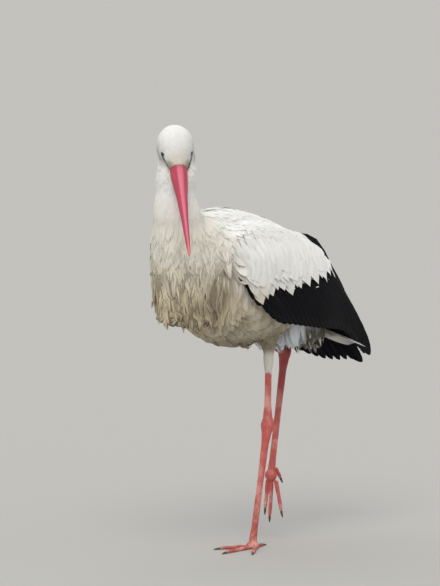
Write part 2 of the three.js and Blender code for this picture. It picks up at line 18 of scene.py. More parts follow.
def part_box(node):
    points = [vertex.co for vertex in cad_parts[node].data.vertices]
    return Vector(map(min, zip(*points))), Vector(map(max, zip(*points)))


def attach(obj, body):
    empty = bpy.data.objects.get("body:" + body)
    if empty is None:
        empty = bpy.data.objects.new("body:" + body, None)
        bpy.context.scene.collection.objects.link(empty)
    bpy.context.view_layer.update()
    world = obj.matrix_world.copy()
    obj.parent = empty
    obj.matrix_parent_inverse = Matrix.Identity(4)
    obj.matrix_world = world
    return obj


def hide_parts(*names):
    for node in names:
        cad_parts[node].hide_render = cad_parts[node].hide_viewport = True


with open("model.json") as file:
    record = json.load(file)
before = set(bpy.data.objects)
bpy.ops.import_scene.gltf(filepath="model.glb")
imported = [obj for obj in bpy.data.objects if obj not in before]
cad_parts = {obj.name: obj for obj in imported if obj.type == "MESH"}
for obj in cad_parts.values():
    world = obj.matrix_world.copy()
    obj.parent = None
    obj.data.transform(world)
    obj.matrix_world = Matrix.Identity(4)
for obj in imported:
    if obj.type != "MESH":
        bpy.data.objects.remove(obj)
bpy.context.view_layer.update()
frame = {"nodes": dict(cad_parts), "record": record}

MM = 0.001
BODY = "root"
rng = np.random.default_rng(1158)


def link(name, mesh):
    """A new object of the mesh, at the origin."""
    made = bpy.data.objects.new(name, mesh)
    bpy.context.scene.collection.objects.link(made)
    return made


def evaluated_mesh(piece):
    """The plain mesh that the piece's modifiers make."""
    graph = bpy.context.evaluated_depsgraph_get()
    graph.update()
    return bpy.data.meshes.new_from_object(piece.evaluated_get(graph))


# ------------------------------------------------------------------ camera, light and floor

VIEW_TURN = math.radians(38)  # from straight in front of the bird, towards its left side
VIEW_RISE = math.radians(8)
VIEW_DISTANCE = 24.0
VIEW_HEIGHT = 1.0103448  # metres from the foot to the top of the view, at the standing leg
VIEW_REACH = 300  # metres to the furthest thing that the camera takes in
SENSOR = 36.0
AIM_FROM_SOLE = Vector((0.008, -0.010, 0))
AIM_ASIDE = -0.0564
AIM_UP = 0.4425


def set_camera():
    """A camera with a long lens, in front of the bird and to its left, a little above it."""
    across = Vector((math.cos(VIEW_TURN), math.sin(VIEW_TURN), 0))
    back = Vector((
        math.sin(VIEW_TURN) * math.cos(VIEW_RISE),
        -math.cos(VIEW_TURN) * math.cos(VIEW_RISE),
        math.sin(VIEW_RISE),
    ))
    up = back.cross(across)
    sole = Vector(frame["record"]["mounts"][0]["pos_m"]) + AIM_FROM_SOLE
    data = bpy.data.cameras.new("camera")
    data.sensor_width = SENSOR
    data.lens = SENSOR * VIEW_DISTANCE / VIEW_HEIGHT
    data.clip_end = VIEW_REACH
    made = bpy.data.objects.new("camera", data)
    made.location = sole + across * AIM_ASIDE + up * AIM_UP + back * VIEW_DISTANCE
    made.rotation_euler = Matrix((across, up, back)).transposed().to_euler()
    bpy.context.scene.collection.objects.link(made)
    bpy.context.scene.camera = made


def lamp(name, direction, softness, strength, colour):
    """Parallel light that comes from the given direction."""
    data = bpy.data.lights.new(name, "SUN")
    data.angle = math.radians(softness)
    data.energy = strength
    data.color = colour
    made = bpy.data.objects.new(name, data)
    made.rotation_euler = Vector(direction).to_track_quat("Z", "Y").to_euler()
    bpy.context.scene.collection.objects.link(made)


FLOOR_COLOUR = (0.43, 0.42, 0.40, 1)
FLOOR_REACH = 90
BACKDROP = (0.48, 0.47, 0.45, 1)  # as bright as the lit floor
STUDIO_WHITE = (1.0, 1.0, 1.0, 1)
STUDIO_STRENGTH = 0.74


def set_light():
    """An even white studio with two soft lamps, seen as a plain pale backdrop."""
    scene = bpy.context.scene
    scene.view_settings.view_transform = "Standard"
    world = bpy.data.worlds.new("studio")
    scene.world = world
    world.use_nodes = True
    plan = Plan(world.node_tree)
    lit = plan.node(
        "ShaderNodeBackground", None, {"Color": STUDIO_WHITE, "Strength": STUDIO_STRENGTH},
    )
    seen = plan.node("ShaderNodeBackground", None, {"Color": BACKDROP, "Strength": 1.0})
    path = plan.node("ShaderNodeLightPath", out="Is Camera Ray")
    straight = (path + path.also("Is Glossy Ray") + path.also("Is Transmission Ray")).at_most(1.0)
    mixed = plan.node("ShaderNodeMixShader", None, {0: straight, 1: lit, 2: seen})
    plan.node("ShaderNodeOutputWorld", None, {"Surface": mixed})
    lamp("key", (0.45, -0.75, 1.0), 35, 1.45, (1.0, 0.985, 0.96))
    lamp("sky", (-0.5, 0.3, 1.0), 60, 0.6, (0.96, 0.98, 1.0))


# ------------------------------------------------------------------ node trees

class Wire:
    """A value on its way through a node tree. Sums on it add Math nodes."""

    def __init__(self, plan, made, out):
        self.plan = plan
        self.made = made
        self.socket = made.outputs[out]

    def also(self, out):
        """Another output of the same node."""
        return Wire(self.plan, self.made, out)

    def maths(self, operation, *values):
        return self.plan.node("ShaderNodeMath", {"operation": operation}, dict(enumerate(values)))

    def __add__(self, other):
        return self.maths("ADD", self, other)

    __radd__ = __add__

    def __mul__(self, other):
        return self.maths("MULTIPLY", self, other)

    __rmul__ = __mul__

    def __sub__(self, other):
        return self.maths("SUBTRACT", self, other)

    def __rsub__(self, other):
        return self.maths("SUBTRACT", other, self)

    def __truediv__(self, other):
        return self.maths("DIVIDE", self, other)

    def __rtruediv__(self, other):
        return self.maths("DIVIDE", other, self)

    def at_most(self, other):
        return self.maths("MINIMUM", self, other)

    def at_least(self, other):
        return self.maths("MAXIMUM", self, other)

    def size(self):
        return self.maths("ABSOLUTE", self)

    def sine(self):
        return self.maths("SINE", self)

    def over(self, other):
        """1 where the value is greater than the other, and 0 elsewhere."""
        return self.maths("GREATER_THAN", self, other)


class Plan:
    """The nodes of one material, world or geometry tree."""

    def __init__(self, tree):
        self.tree = tree
        tree.nodes.clear()

    def node(self, kind, settings=None, sockets=None, out=0):
        """Adds a node, sets it, and fills or links its sockets. Gives its output as a Wire."""
        made = self.tree.nodes.new(kind)
        for key, value in (settings or {}).items():
            setattr(made, key, value)
        for key, value in (sockets or {}).items():
            if isinstance(value, Wire):
                self.tree.links.new(value.socket, made.inputs[key])
            else:
                made.inputs[key].default_value = value
        return Wire(self, made, out) if made.outputs else None

    def rise(self, value, low, high):
        """0 below low and 1 above high, with a soft step between."""
        return self.node(
            "ShaderNodeMapRange", {"interpolation_type": "SMOOTHSTEP"},
            {"Value": value, "From Min": low, "From Max": high, "To Min": 0.0, "To Max": 1.0},
        )

    def near(self, place, centre, inner, outer):
        """1 closer to the centre than inner, 0 further from it than outer."""
        away = self.node(
            "ShaderNodeVectorMath", {"operation": "DISTANCE"}, {0: place, 1: centre}, out="Value",
        )
        return 1 - self.rise(away, inner, outer)

    def blend(self, under, over, share, how="MIX"):
        """One colour laid over another by the given share."""
        under, over = [c if isinstance(c, Wire) else (*c, 1) for c in (under, over)]
        return self.node(
            "ShaderNodeMix", {"data_type": "RGBA", "blend_type": how},
            {0: share, 6: under, 7: over}, out=2,
        )

    def place(self):
        return self.node("ShaderNodeTexCoord", out="Object")

    def split(self, vector):
        parts = self.node("ShaderNodeSeparateXYZ", None, {0: vector})
        return parts, parts.also("Y"), parts.also("Z")

    def noise(self, vector, scale, detail=3.0, rough=0.5):
        return self.node(
            "ShaderNodeTexNoise", None,
            {"Vector": vector, "Scale": scale, "Detail": detail, "Roughness": rough},
        )

    def attribute(self, name, out="Fac"):
        return self.node("ShaderNodeAttribute", {"attribute_name": name}, out=out)

    def bump(self, height, strength, distance):
        return self.node(
            "ShaderNodeBump", None,
            {"Height": height, "Strength": strength, "Distance": distance}, out="Normal",
        )


def material(name, paint):
    """A material whose shader is made by paint(plan), which gives the Principled node's sockets."""
    made = bpy.data.materials.new(name)
    made.use_nodes = True
    plan = Plan(made.node_tree)
    shader = plan.node("ShaderNodeBsdfPrincipled", None, paint(plan))
    plan.node("ShaderNodeOutputMaterial", None, {"Surface": shader})
    return made


# ------------------------------------------------------------------ landmarks

def node_points(name):
    """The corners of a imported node, in metres."""
    mesh = frame["nodes"][name].data
    points = np.empty(len(mesh.vertices) * 3, np.float32)
    mesh.vertices.foreach_get("co", points)
    return points.reshape(-1, 3).astype(float)


def unit(vectors):
    return vectors / np.maximum(np.linalg.norm(vectors, axis=-1, keepdims=True), 1e-12)


def centre_of(name):
    low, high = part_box(name)
    return np.array((low + high) / 2)


EYE_FORWARD = 13.5 * MM  # from the head's centre to the line through both eyes
EYE_ABOVE = 6 * MM


def head_frame():
    """The head's centre and its left, forward and upward directions."""
    eye_left, eye_right = centre_of("eye_left"), centre_of("eye_right")
    between = (eye_left + eye_right) / 2
    left = unit(eye_left - eye_right)
    bill = node_points("bill_upper")
    reach = np.linalg.norm(bill - between, axis=1)
    tip = bill[reach > reach.max() - 2 * MM].mean(0)
    along = tip - between
    along -= left * (along @ left)
    dip = math.asin(EYE_ABOVE / np.linalg.norm(along))
    lifted = np.cross(unit(along), left)
    forward = unit(unit(along) * math.cos(dip) + lifted * math.sin(dip))
    up = np.cross(forward, left)
    return between - forward * EYE_FORWARD - up * EYE_ABOVE, left, forward, up


HEAD_AT, HEAD_LEFT, HEAD_FORWARD, HEAD_UP = head_frame()
HEAD_BACK = unit(np.array([-HEAD_FORWARD[0], -HEAD_FORWARD[1], 0.0]))


def millimetres(points):
    return points.T / MM


def in_head(points):
    """Left, forward and up in the head, in millimetres."""
    away = (points - HEAD_AT) / MM
    return away @ HEAD_LEFT, away @ HEAD_FORWARD, away @ HEAD_UP


def from_head(left, forward, up):
    """The place that lies so many millimetres left, forward and up from the head's centre."""
    return HEAD_AT + MM * (
        np.multiply.outer(left, HEAD_LEFT) + np.multiply.outer(forward, HEAD_FORWARD)
        + np.multiply.outer(up, HEAD_UP)
    )


def rise(value, low, high):
    """0 below low and 1 above high, with a soft step between."""
    share = np.clip((value - low) / (high - low), 0, 1)
    return share * share * (3 - 2 * share)


# ------------------------------------------------------------------ finishes

# plumage
WHITE = (0.84, 0.84, 0.815)
CREAM = (0.64, 0.555, 0.385)
BUFF = (0.43, 0.35, 0.215)
# brown for painted shade in hollows and gaps, under feather tips and at the bottom of the belly
UMBER_SHADE = (0.19, 0.15, 0.095)
OLIVE = (0.30, 0.265, 0.185)
# white in painted bluish shade, for the vent and tail
BLUE_SHADED_WHITE = (0.74, 0.79, 0.83)
FOREHEAD = (0.74, 0.69, 0.52)
DUN = (0.30, 0.25, 0.20)
THIGH = (0.74, 0.71, 0.63)
SHADE = (0.085, 0.078, 0.052)
JET = (0.003, 0.003, 0.005)
JET_GLEAM = (0.005, 0.006, 0.009)
JET_RIM_HIGHLIGHT = (0.018, 0.018, 0.021)
JET_SHAFT_HIGHLIGHT = (0.05, 0.05, 0.055)
# bare skin
LEG_RED = (0.62, 0.125, 0.115)
LEG_PALE_HIGHLIGHT = (0.82, 0.42, 0.36)
LEG_SHADED = (0.26, 0.030, 0.045)
LEG_SEAM = (0.42, 0.07, 0.06)
SOIL = (0.16, 0.10, 0.07)
LORE = (0.018, 0.015, 0.015)
# horn
BILL_SIDE = (0.47, 0.055, 0.105)
BILL_RIDGE_HIGHLIGHT = (0.70, 0.16, 0.215)
BILL_PALE = (0.78, 0.30, 0.33)
BILL_DEEP = (0.33, 0.035, 0.06)
BILL_END = (0.72, 0.27, 0.27)
BILL_BASE = (0.30, 0.045, 0.06)
CLAW_DARK = (0.035, 0.024, 0.020)
CLAW_PALE = (0.13, 0.085, 0.06)
# eyes
PUPIL = (0.002, 0.002, 0.002)
IRIS_DARK = (0.028, 0.014, 0.008)
IRIS_PALE = (0.075, 0.038, 0.020)
EYE_RIM = (0.006, 0.005, 0.005)

SHADED_HOLLOWS = [  # painted shade where the breast's long feathers part from the flank: place, inner and outer reach
    ((0.040, -0.240, 0.438), 0.010, 0.040), ((0.058, -0.185, 0.448), 0.015, 0.050),
]


def plumage_colour(plan):
    """White on the head, neck, back and wings, cream to buff on the breast, belly and flanks.
    Painted shade darkens the underside, which is partly soiled too, the hollows beside the breast
    and the parts under the tail, and turns the white there bluish.

    The borders are in metres in the bird's own frame: it faces -Y and stands on Z 0.
    """
    place = plan.place()
    _, y, z = plan.split(place)
    ahead = 1 - plan.rise(y, -0.19, -0.13)
    bib = ahead * (1 - plan.rise(z, 0.44, 0.60))
    throat = ahead * (1 - plan.rise(z, 0.55, 0.67)) * 0.45
    off_wing = 1 - plan.rise(z + y * 0.25, 0.40, 0.47)
    belly = off_wing * (1 - ahead)
    patchy = plan.noise(place, 22.0, 4.0, 0.6)
    cream = (bib.at_least(throat) + belly * 0.85).at_most(1.0)
    cream = (cream + (patchy - 0.5) * 0.6 * cream).at_least(0.0).at_most(1.0)
    buff = plan.rise(patchy + (cream - 1) * 0.35, 0.44, 0.72) * cream
    colour = plan.blend(WHITE, CREAM, cream)
    colour = plan.blend(colour, BUFF, buff * 0.75)
    # a darker olive underside: partly soiled feathers, partly painted shade
    under = (1 - plan.rise(z - y * 0.06, 0.345, 0.440)) * (1 - ahead * 0.3)
    colour = plan.blend(colour, OLIVE, under * (0.35 + patchy * 0.5))
    # painted shade at the bottom of the belly
    lowest = (1 - plan.rise(z - y * 0.08, 0.365, 0.400)) * (1 - plan.rise(y, 0.0, 0.04))
    colour = plan.blend(colour, UMBER_SHADE, lowest * 0.55)
    colour = plan.blend(colour, THIGH, 1 - plan.rise(z, 0.335, 0.352))
    # painted shade in the hollows beside the breast
    for centre, inner, outer in SHADED_HOLLOWS:
        colour = plan.blend(colour, UMBER_SHADE, plan.near(place, centre, inner, outer) * 0.7)
    low = 1 - plan.rise(z, 0.40, 0.44)
    # painted shade under the tail, blotched
    tail_shade = plan.rise(y, 0.072, 0.09) * (1 - plan.rise(y, 0.215, 0.24)) * low
    blotch = plan.rise(plan.noise(place, 60.0, 3.0), 0.40, 0.52)
    # painted shade: the white of the vent and tail turned bluish grey
    colour = plan.blend(colour, BLUE_SHADED_WHITE, plan.rise(y, 0.022, 0.042) * low)
    colour = plan.blend(colour, SHADE, tail_shade * (0.74 + blotch * 0.26))
    colour = plan.blend(colour, FOREHEAD, plan.near(
        place, from_head(0, BILL_START, 4), 0.010, 0.034,
    ) * 0.75)
    for side in (-1, 1):
        cheek = from_head(14.0 * side, BILL_START - 6, 3)
        colour = plan.blend(colour, DUN, plan.near(place, cheek, 0.004, 0.013) * 0.7)
    return colour


def barbs(plan):
    """The shaft and the slanting barbs of a vane, along its own map, as shares of 0 to 1."""
    across, along, _ = plan.split(plan.node("ShaderNodeUVMap", {"uv_map": "vane"}))
    off_shaft = (across - 0.5).size() * 2
    slant = (along * 7 - off_shaft * 2.2) * 34
    return off_shaft, along, slant.sine() * 0.5 + 0.5


def paint_plumage(plan):
    """The bird's colours on a feather, with painted shade at its root, in the gaps between locks
    and below the tips that lie over it, and painted light on the middles of the locks.
    """
    off_shaft, along, stripes = barbs(plan)
    tint = plan.attribute("tint")
    colour = plumage_colour(plan)
    _, y, z = plan.split(plan.place())
    shaggy = (1 - plan.rise(y, -0.17, -0.13)) * (1 - plan.rise(z, 0.46, 0.58))
    # painted shade on the breast's long feathers: darker towards the root and at the borders of
    # each lock
    root = 1 - plan.rise(along, 0.15, 0.65)
    gap_shade = 1 - plan.rise(tint, 0.15, 0.60)
    colour = plan.blend(colour, UMBER_SHADE, (root * 0.8).at_least(gap_shade * 0.75) * shaggy)
    # painted shade on the flanks and belly, just below the tip of each feather that lies over
    # another
    flank_tip_shade = plan.rise(y, -0.17, -0.13) * (1 - plan.rise(y, 0.02, 0.05))
    flank_tip_shade = flank_tip_shade * (1 - plan.rise(z + y * 0.25, 0.40, 0.46)) * plan.rise(z, 0.338, 0.355)
    colour = plan.blend(colour, UMBER_SHADE, (1 - plan.rise(along, 0.50, 0.92)) * flank_tip_shade * 0.5)
    # painted light: the middles of the breast's locks paler cream
    colour = plan.blend(colour, CREAM, plan.rise(tint, 0.6, 0.9) * shaggy * (1 - root) * 0.5)
    under_tail = plan.rise(y, 0.072, 0.09) * (1 - plan.rise(z, 0.37, 0.40))
    pale = plan.rise(tint, 0.55, 0.7) * plan.rise(along, 0.55, 0.8)
    colour = plan.blend(colour, THIGH, pale * under_tail * 0.8)
    shade = 0.90 + plan.rise(along, 0.15, 0.85) * 0.1
    shade = shade * (0.95 + tint * 0.09) * (1 - stripes * 0.03)
    colour = plan.blend(colour, plan.node(
        "ShaderNodeCombineColor", None, {0: shade, 1: shade, 2: shade},
    ), 1.0, "MULTIPLY")
    height = stripes * 0.5 + (1 - plan.rise(off_shaft, 0.0, 0.14)) * 0.8
    return {
        "Base Color": colour, "Roughness": 0.82, "Specular IOR Level": 0.25,
        "Sheen Weight": 0.12, "Sheen Roughness": 0.6,
        "Normal": plan.bump(height, 0.25, 0.0006),
    }


def paint_flight(plan):
    """Dull black with painted highlights along the shaft and rim."""
    off_shaft, _, stripes = barbs(plan)
    tint = plan.attribute("tint")
    shaft = 1 - plan.rise(off_shaft, 0.03, 0.10)
    colour = plan.blend(JET, JET_GLEAM, tint)
    # painted highlights along the rim and the shaft
    colour = plan.blend(colour, JET_RIM_HIGHLIGHT, plan.rise(off_shaft, 0.86, 1.0) * 0.5)
    colour = plan.blend(colour, JET_SHAFT_HIGHLIGHT, shaft * 0.3)
    height = stripes * 0.35 + shaft
    return {
        "Base Color": colour, "Roughness": 0.60 + stripes * 0.10, "Specular IOR Level": 0.07,
        "Normal": plan.bump(height, 0.3, 0.0006),
    }


def paint_skin(plan):
    """The plumage's colours under the feathers, small red plates on the legs with painted
    highlights and painted shade, black lores.
    """
    place = plan.place()
    x, _, z = plan.split(place)
    leg = plan.attribute("leg")
    lore = plan.attribute("lore")
    fine = plan.noise(place, 160.0, 3.0)
    broad = plan.noise(place, 34.0, 3.0)
    scutes = plan.node(
        "ShaderNodeTexVoronoi", {"feature": "DISTANCE_TO_EDGE"}, {"Vector": place, "Scale": 330.0},
    )
    plates = plan.rise(scutes, 0.02, 0.16)
    # pale patches painted as highlights on the red legs
    red = plan.blend(LEG_RED, LEG_PALE_HIGHLIGHT, plan.rise(broad, 0.42, 0.66))
    # painted shade on the upper part of the lifted right leg, under the body
    lifted = (1 - plan.rise(x, -0.030, -0.018)) * plan.rise(z, 0.16, 0.30)
    red = plan.blend(red, LEG_SHADED, lifted * 0.8)
    red = plan.blend(red, LEG_SEAM, (1 - plates) * 0.7)
    soiled = (1 - plan.rise(z, 0.02, 0.13)) * plan.rise(fine, 0.42, 0.62)
    red = plan.blend(red, SOIL, soiled * 0.55)
    colour = plan.blend(plumage_colour(plan), red, leg)
    colour = plan.blend(colour, LORE, lore)
    height = plates * leg + fine * 0.4
    return {
        "Base Color": colour, "Roughness": 0.62 - plates * leg * 0.12,
        "Specular IOR Level": 0.4, "Normal": plan.bump(height, 0.5, 0.0007),
    }


def paint_bill(plan):
    """Deep red horn with a painted highlight along the ridge, a paler tip and fine streaks along
    it.
    """
    around, along, _ = plan.split(plan.node("ShaderNodeUVMap", {"uv_map": "vane"}))
    place = plan.place()
    streak = plan.noise(plan.node(
        "ShaderNodeCombineXYZ", None, {"X": around * 26, "Y": along * 3.0, "Z": 0.0},
    ), 1.6, 5.0, 0.6)
    fine = plan.noise(place, 260.0, 3.0)
    # painted highlight along the top of the bill
    ridge = 1 - plan.rise((around - 0.5).size(), 0.03, 0.17)
    colour = plan.blend(BILL_SIDE, BILL_RIDGE_HIGHLIGHT, ridge)
    colour = plan.blend(colour, BILL_PALE, plan.rise(streak, 0.55, 0.78) * 0.45)
    colour = plan.blend(colour, BILL_DEEP, plan.rise(streak, 0.60, 0.30) * 0.35)
    colour = plan.blend(colour, BILL_END, plan.rise(along, 0.82, 1.0) * 0.6)
    colour = plan.blend(colour, BILL_BASE, (1 - plan.rise(along, 0.0, 0.06)) * 0.5)
    return {
        "Base Color": colour, "Roughness": 0.40 + fine * 0.14, "Specular IOR Level": 0.45,
        "Normal": plan.bump(streak * 0.8 + fine * 0.2, 0.22, 0.0008),
    }


def paint_claw(plan):
    grain = plan.noise(plan.place(), 420.0, 4.0)
    return {
        "Base Color": plan.blend(CLAW_DARK, CLAW_PALE, grain),
        "Roughness": 0.42, "Normal": plan.bump(grain, 0.3, 0.0004),
    }


def paint_eye(plan):
    """A black pupil in a dark brown iris, wet all over."""
    polar = plan.attribute("polar")
    streak = plan.noise(plan.place(), 900.0, 3.0)
    iris = plan.blend(IRIS_DARK, IRIS_PALE, streak)
    colour = plan.blend(PUPIL, iris, plan.rise(polar, 0.40, 0.46))
    colour = plan.blend(colour, EYE_RIM, plan.rise(polar, 0.66, 0.76))
    return {"Base Color": colour, "Roughness": 0.06, "Specular IOR Level": 0.6}


# ------------------------------------------------------------------ skin

BODY_NODES = [
    "head", "neck", "breast", "trunk", "wing_left_coverts", "wing_right_coverts",
    "thigh_left", "thigh_right",
]
LEG_NODES = [name for name in frame["nodes"] if name.split("_")[0] in ("shank", "tarsus", "toe")]
CLAW_NODES = [name for name in frame["nodes"] if name.startswith("claw_")]
BODY_CELL = 3.2 * MM
LEG_CELL = 1.2 * MM


class Surface:
    """Finds the nearest place and its smoothed normal on a mesh."""

    def __init__(self, mesh):
        corners = np.empty(len(mesh.vertices) * 3, np.float32)
        mesh.vertices.foreach_get("co", corners)
        self.tree = BVHTree.FromPolygons(
            corners.reshape(-1, 3).tolist(), [tuple(p.vertices) for p in mesh.polygons],
        )
        by_vertex = np.empty(len(mesh.vertices) * 3, np.float32)
        mesh.vertices.foreach_get("normal", by_vertex)
        by_vertex = by_vertex.reshape(-1, 3)
        self.normals = np.array([by_vertex[list(p.vertices)].mean(0) for p in mesh.polygons])

    def nearest(self, points):
        found = [self.tree.find_nearest(Vector(p)) for p in points]
        places = np.array([f[0] for f in found])
        return places, unit(self.normals[[f[2] for f in found]])

    def distance(self, points):
        return np.array([self.tree.find_nearest(Vector(p))[3] for p in points])


def merged_copy(names, grow):
    """Copies of CAD nodes in one mesh, their loose corners merged, each a little thicker."""
    whole = bmesh.new()
    for name in names:
        part = bmesh.new()
        part.from_mesh(frame["nodes"][name].data)
        bmesh.ops.remove_doubles(part, verts=part.verts, dist=0.01 * MM)
        part.normal_update()
        for vertex in part.verts:
            vertex.co += vertex.normal * grow
        grown = bpy.data.meshes.new(name)
        part.to_mesh(grown)
        part.free()
        whole.from_mesh(grown)
        bpy.data.meshes.remove(grown)
    mesh = bpy.data.meshes.new("merged")
    whole.to_mesh(mesh)
    whole.free()
    return mesh


def mesh_arrays(mesh):
    """The places and normals of a mesh's corners."""
    points = np.empty(len(mesh.vertices) * 3, np.float32)
    normals = np.empty(len(mesh.vertices) * 3, np.float32)
    mesh.vertices.foreach_get("co", points)
    mesh.vertices.foreach_get("normal", normals)
    return points.reshape(-1, 3).astype(float), normals.reshape(-1, 3).astype(float)


def smooth_shaded(mesh):
    mesh.polygons.foreach_set("use_smooth", [True] * len(mesh.polygons))


def put_points(mesh, points):
    mesh.vertices.foreach_set("co", points.astype(np.float32).ravel())
    mesh.update()


PLUME_ROUNDS = 260  # rounds of shrinking


def without_plumes(mesh, depth):
    """Draws in what is thinner than twice the given depth, like a film shrinking on its rim."""
    points, normals = mesh_arrays(mesh)
    tree = BVHTree.FromPolygons(points.tolist(), [tuple(p.vertices) for p in mesh.polygons])
    free = np.array([
        tree.ray_cast(Vector(p - n * 0.2 * MM), Vector(-n), 2 * deep)[0] is not None
        for p, n, deep in zip(points, normals, depth)
    ])
    ends = np.empty(len(mesh.edges) * 2, np.int32)
    mesh.edges.foreach_get("vertices", ends)
    one, other = ends.reshape(-1, 2).T
    near = np.bincount(ends, minlength=len(points))[:, None]
    for _ in range(PLUME_ROUNDS):
        total = np.stack([
            np.bincount(one, points[other, axis], len(points))
            + np.bincount(other, points[one, axis], len(points)) for axis in range(3)
        ], 1)
        points[free] = (total / near)[free]
    put_points(mesh, points)
    return mesh


def remeshed(start, cell, rounds):
    """One even, smoothed, closed mesh round the start."""
    piece = link("remeshed", start)
    even = piece.modifiers.new("even", "REMESH")
    even.mode = "VOXEL"
    even.voxel_size = cell
    soft = piece.modifiers.new("soft", "SMOOTH")
    soft.factor = 0.5
    soft.iterations = rounds
    mesh = evaluated_mesh(piece)
    bpy.data.objects.remove(piece)
    return mesh


THIGHS = Surface(merged_copy(["thigh_left", "thigh_right"], 0))
BODY_DEPTH = 4.2
UNDER_ROWS = 3.4  # deeper by this where the large coverts and black feathers lie
UNDER_BIB = 5.0  # and by this under the long feathers of the breast
NECK_DEPTH = 2.4
HEAD_DEPTH = 1.2


def coat_depth(points):
    """How deep the skin lies under the outline of the plumage, in metres."""
    _, y, z = millimetres(points)
    depth = np.full(len(points), BODY_DEPTH)
    depth += UNDER_ROWS * (1 - rise(above_border(points), ROWS_HIGH, ROWS_HIGH + 24))
    depth += UNDER_BIB * (1 - rise(y, -190, -150)) * (1 - rise(z, 470, 540))
    depth += (NECK_DEPTH - depth) * rise(z, 590, 630)
    depth += (HEAD_DEPTH - depth) * rise(z, 640, 665)
    thigh = 1 - rise(THIGHS.distance(points) / MM, 1.5, 6)
    depth += (0.5 + 1.3 * rise(z, 322, 350) - depth) * thigh
    return depth * MM


LORE_LENGTH = 25.0  # from the eye to the gape
LORE_DROP = 9.5  # from the eye down to the gape
LORE_HALF = 4.4  # half its height at the eye
LORE_TAPER = 2.9  # what that half loses on the way
LORE_FRONT = 46  # it ends this far ahead of the head's centre


def lore_share(points):
    """1 on the bare black skin round the eyes and from them to the gape."""
    left, forward, up = in_head(points)
    reach = np.clip((forward - EYE_FORWARD / MM) / LORE_LENGTH, 0, 1)
    line = EYE_ABOVE / MM - LORE_DROP * reach
    near = np.abs(up - line) < LORE_HALF - LORE_TAPER * reach ** 0.6
    ahead = (forward > EYE_FORWARD / MM - 4.0) & (forward < LORE_FRONT) & (np.abs(left) > 6)
    return np.where(near & ahead, 1.0, 0.0)


def set_attribute(mesh, name, values, kind="FLOAT"):
    made = mesh.attributes.new(name, kind, "POINT")
    reader = "vector" if kind == "FLOAT_VECTOR" else "value"
    made.data.foreach_set(reader, np.asarray(values, np.float32).ravel())


def joined(meshes):
    """One mesh of several, with their attributes."""
    whole = bmesh.new()
    for mesh in meshes:
        whole.from_mesh(mesh)
    mesh = bpy.data.meshes.new("joined")
    whole.to_mesh(mesh)
    whole.free()
    return mesh


def make_skin():
    """One skin in place of all the solids of flesh, with the lids, sunk by the coat's depth."""
    whole = remeshed(merged_copy(BODY_NODES, 0.4 * MM), BODY_CELL, 2)
    points, _ = mesh_arrays(whole)
    body = remeshed(without_plumes(whole, coat_depth(points)), BODY_CELL, 10)
    points, normals = mesh_arrays(body)
    put_points(body, points - normals * coat_depth(points)[:, None])
    set_attribute(body, "leg", np.zeros(len(points)))
    points, _ = mesh_arrays(body)
    set_attribute(body, "lore", lore_share(points))
    legs = remeshed(merged_copy(LEG_NODES, 0.35 * MM), LEG_CELL, 6)
    set_attribute(legs, "leg", np.ones(len(legs.vertices)))
    set_attribute(legs, "lore", np.zeros(len(legs.vertices)))
    lids = [eyelids("left"), eyelids("right")]
    piece = link("skin", joined([body, legs, *lids]))
    smooth_shaded(piece.data)
    bpy.context.view_layer.objects.active = piece
    piece.select_set(True)
    bpy.ops.object.mode_set(mode="EDIT")
    bpy.ops.mesh.select_all(action="SELECT")
    piece.data.uv_layers.new(name="unwrap")
    bpy.ops.uv.smart_project(angle_limit=math.radians(66), island_margin=0.002)
    bpy.ops.object.mode_set(mode="OBJECT")
    piece.select_set(False)
    piece.data.materials.append(material("skin", paint_skin))
    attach(piece, BODY)
    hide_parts(*BODY_NODES, *LEG_NODES)
    return piece


# ------------------------------------------------------------------ the trees that make feathers

PATCH = 0.003  # a feather's size on the unwrap of the skin
CROWDING = 2.4  # roots tried for in each square of the spacing


def new_tree(name, inputs):
    tree = bpy.data.node_groups.new(name, "GeometryNodeTree")
    tree.interface.new_socket("Geometry", in_out="OUTPUT", socket_type="NodeSocketGeometry")
    tree.interface.new_socket("Geometry", in_out="INPUT", socket_type="NodeSocketGeometry")
    for label, kind in inputs:
        tree.interface.new_socket(label, in_out="INPUT", socket_type=kind)
    return tree


def root_tree():
    """Spreads places over a skin, no two closer than Spacing."""
    tree = new_tree("feather roots", [("Spacing", "NodeSocketFloat"), ("Seed", "NodeSocketInt")])
    plan = Plan(tree)
    given = plan.node("NodeGroupInput", out="Geometry")
    spacing = given.also("Spacing")
    spread = plan.node(
        "GeometryNodeDistributePointsOnFaces", {"distribute_method": "POISSON"},
        {"Mesh": given, "Distance Min": spacing, "Density Max": CROWDING / (spacing * spacing),
         "Seed": given.also("Seed")},
    )
    kept = plan.node(
        "GeometryNodeStoreNamedAttribute", {"data_type": "FLOAT_VECTOR", "domain": "POINT"},
        {"Geometry": spread, "Name": "outward", "Value": spread.also("Normal")},
    )
    corners = plan.node("GeometryNodePointsToVertices", None, {"Points": kept})
    plan.node("NodeGroupOutput", None, {"Geometry": corners})
    return tree


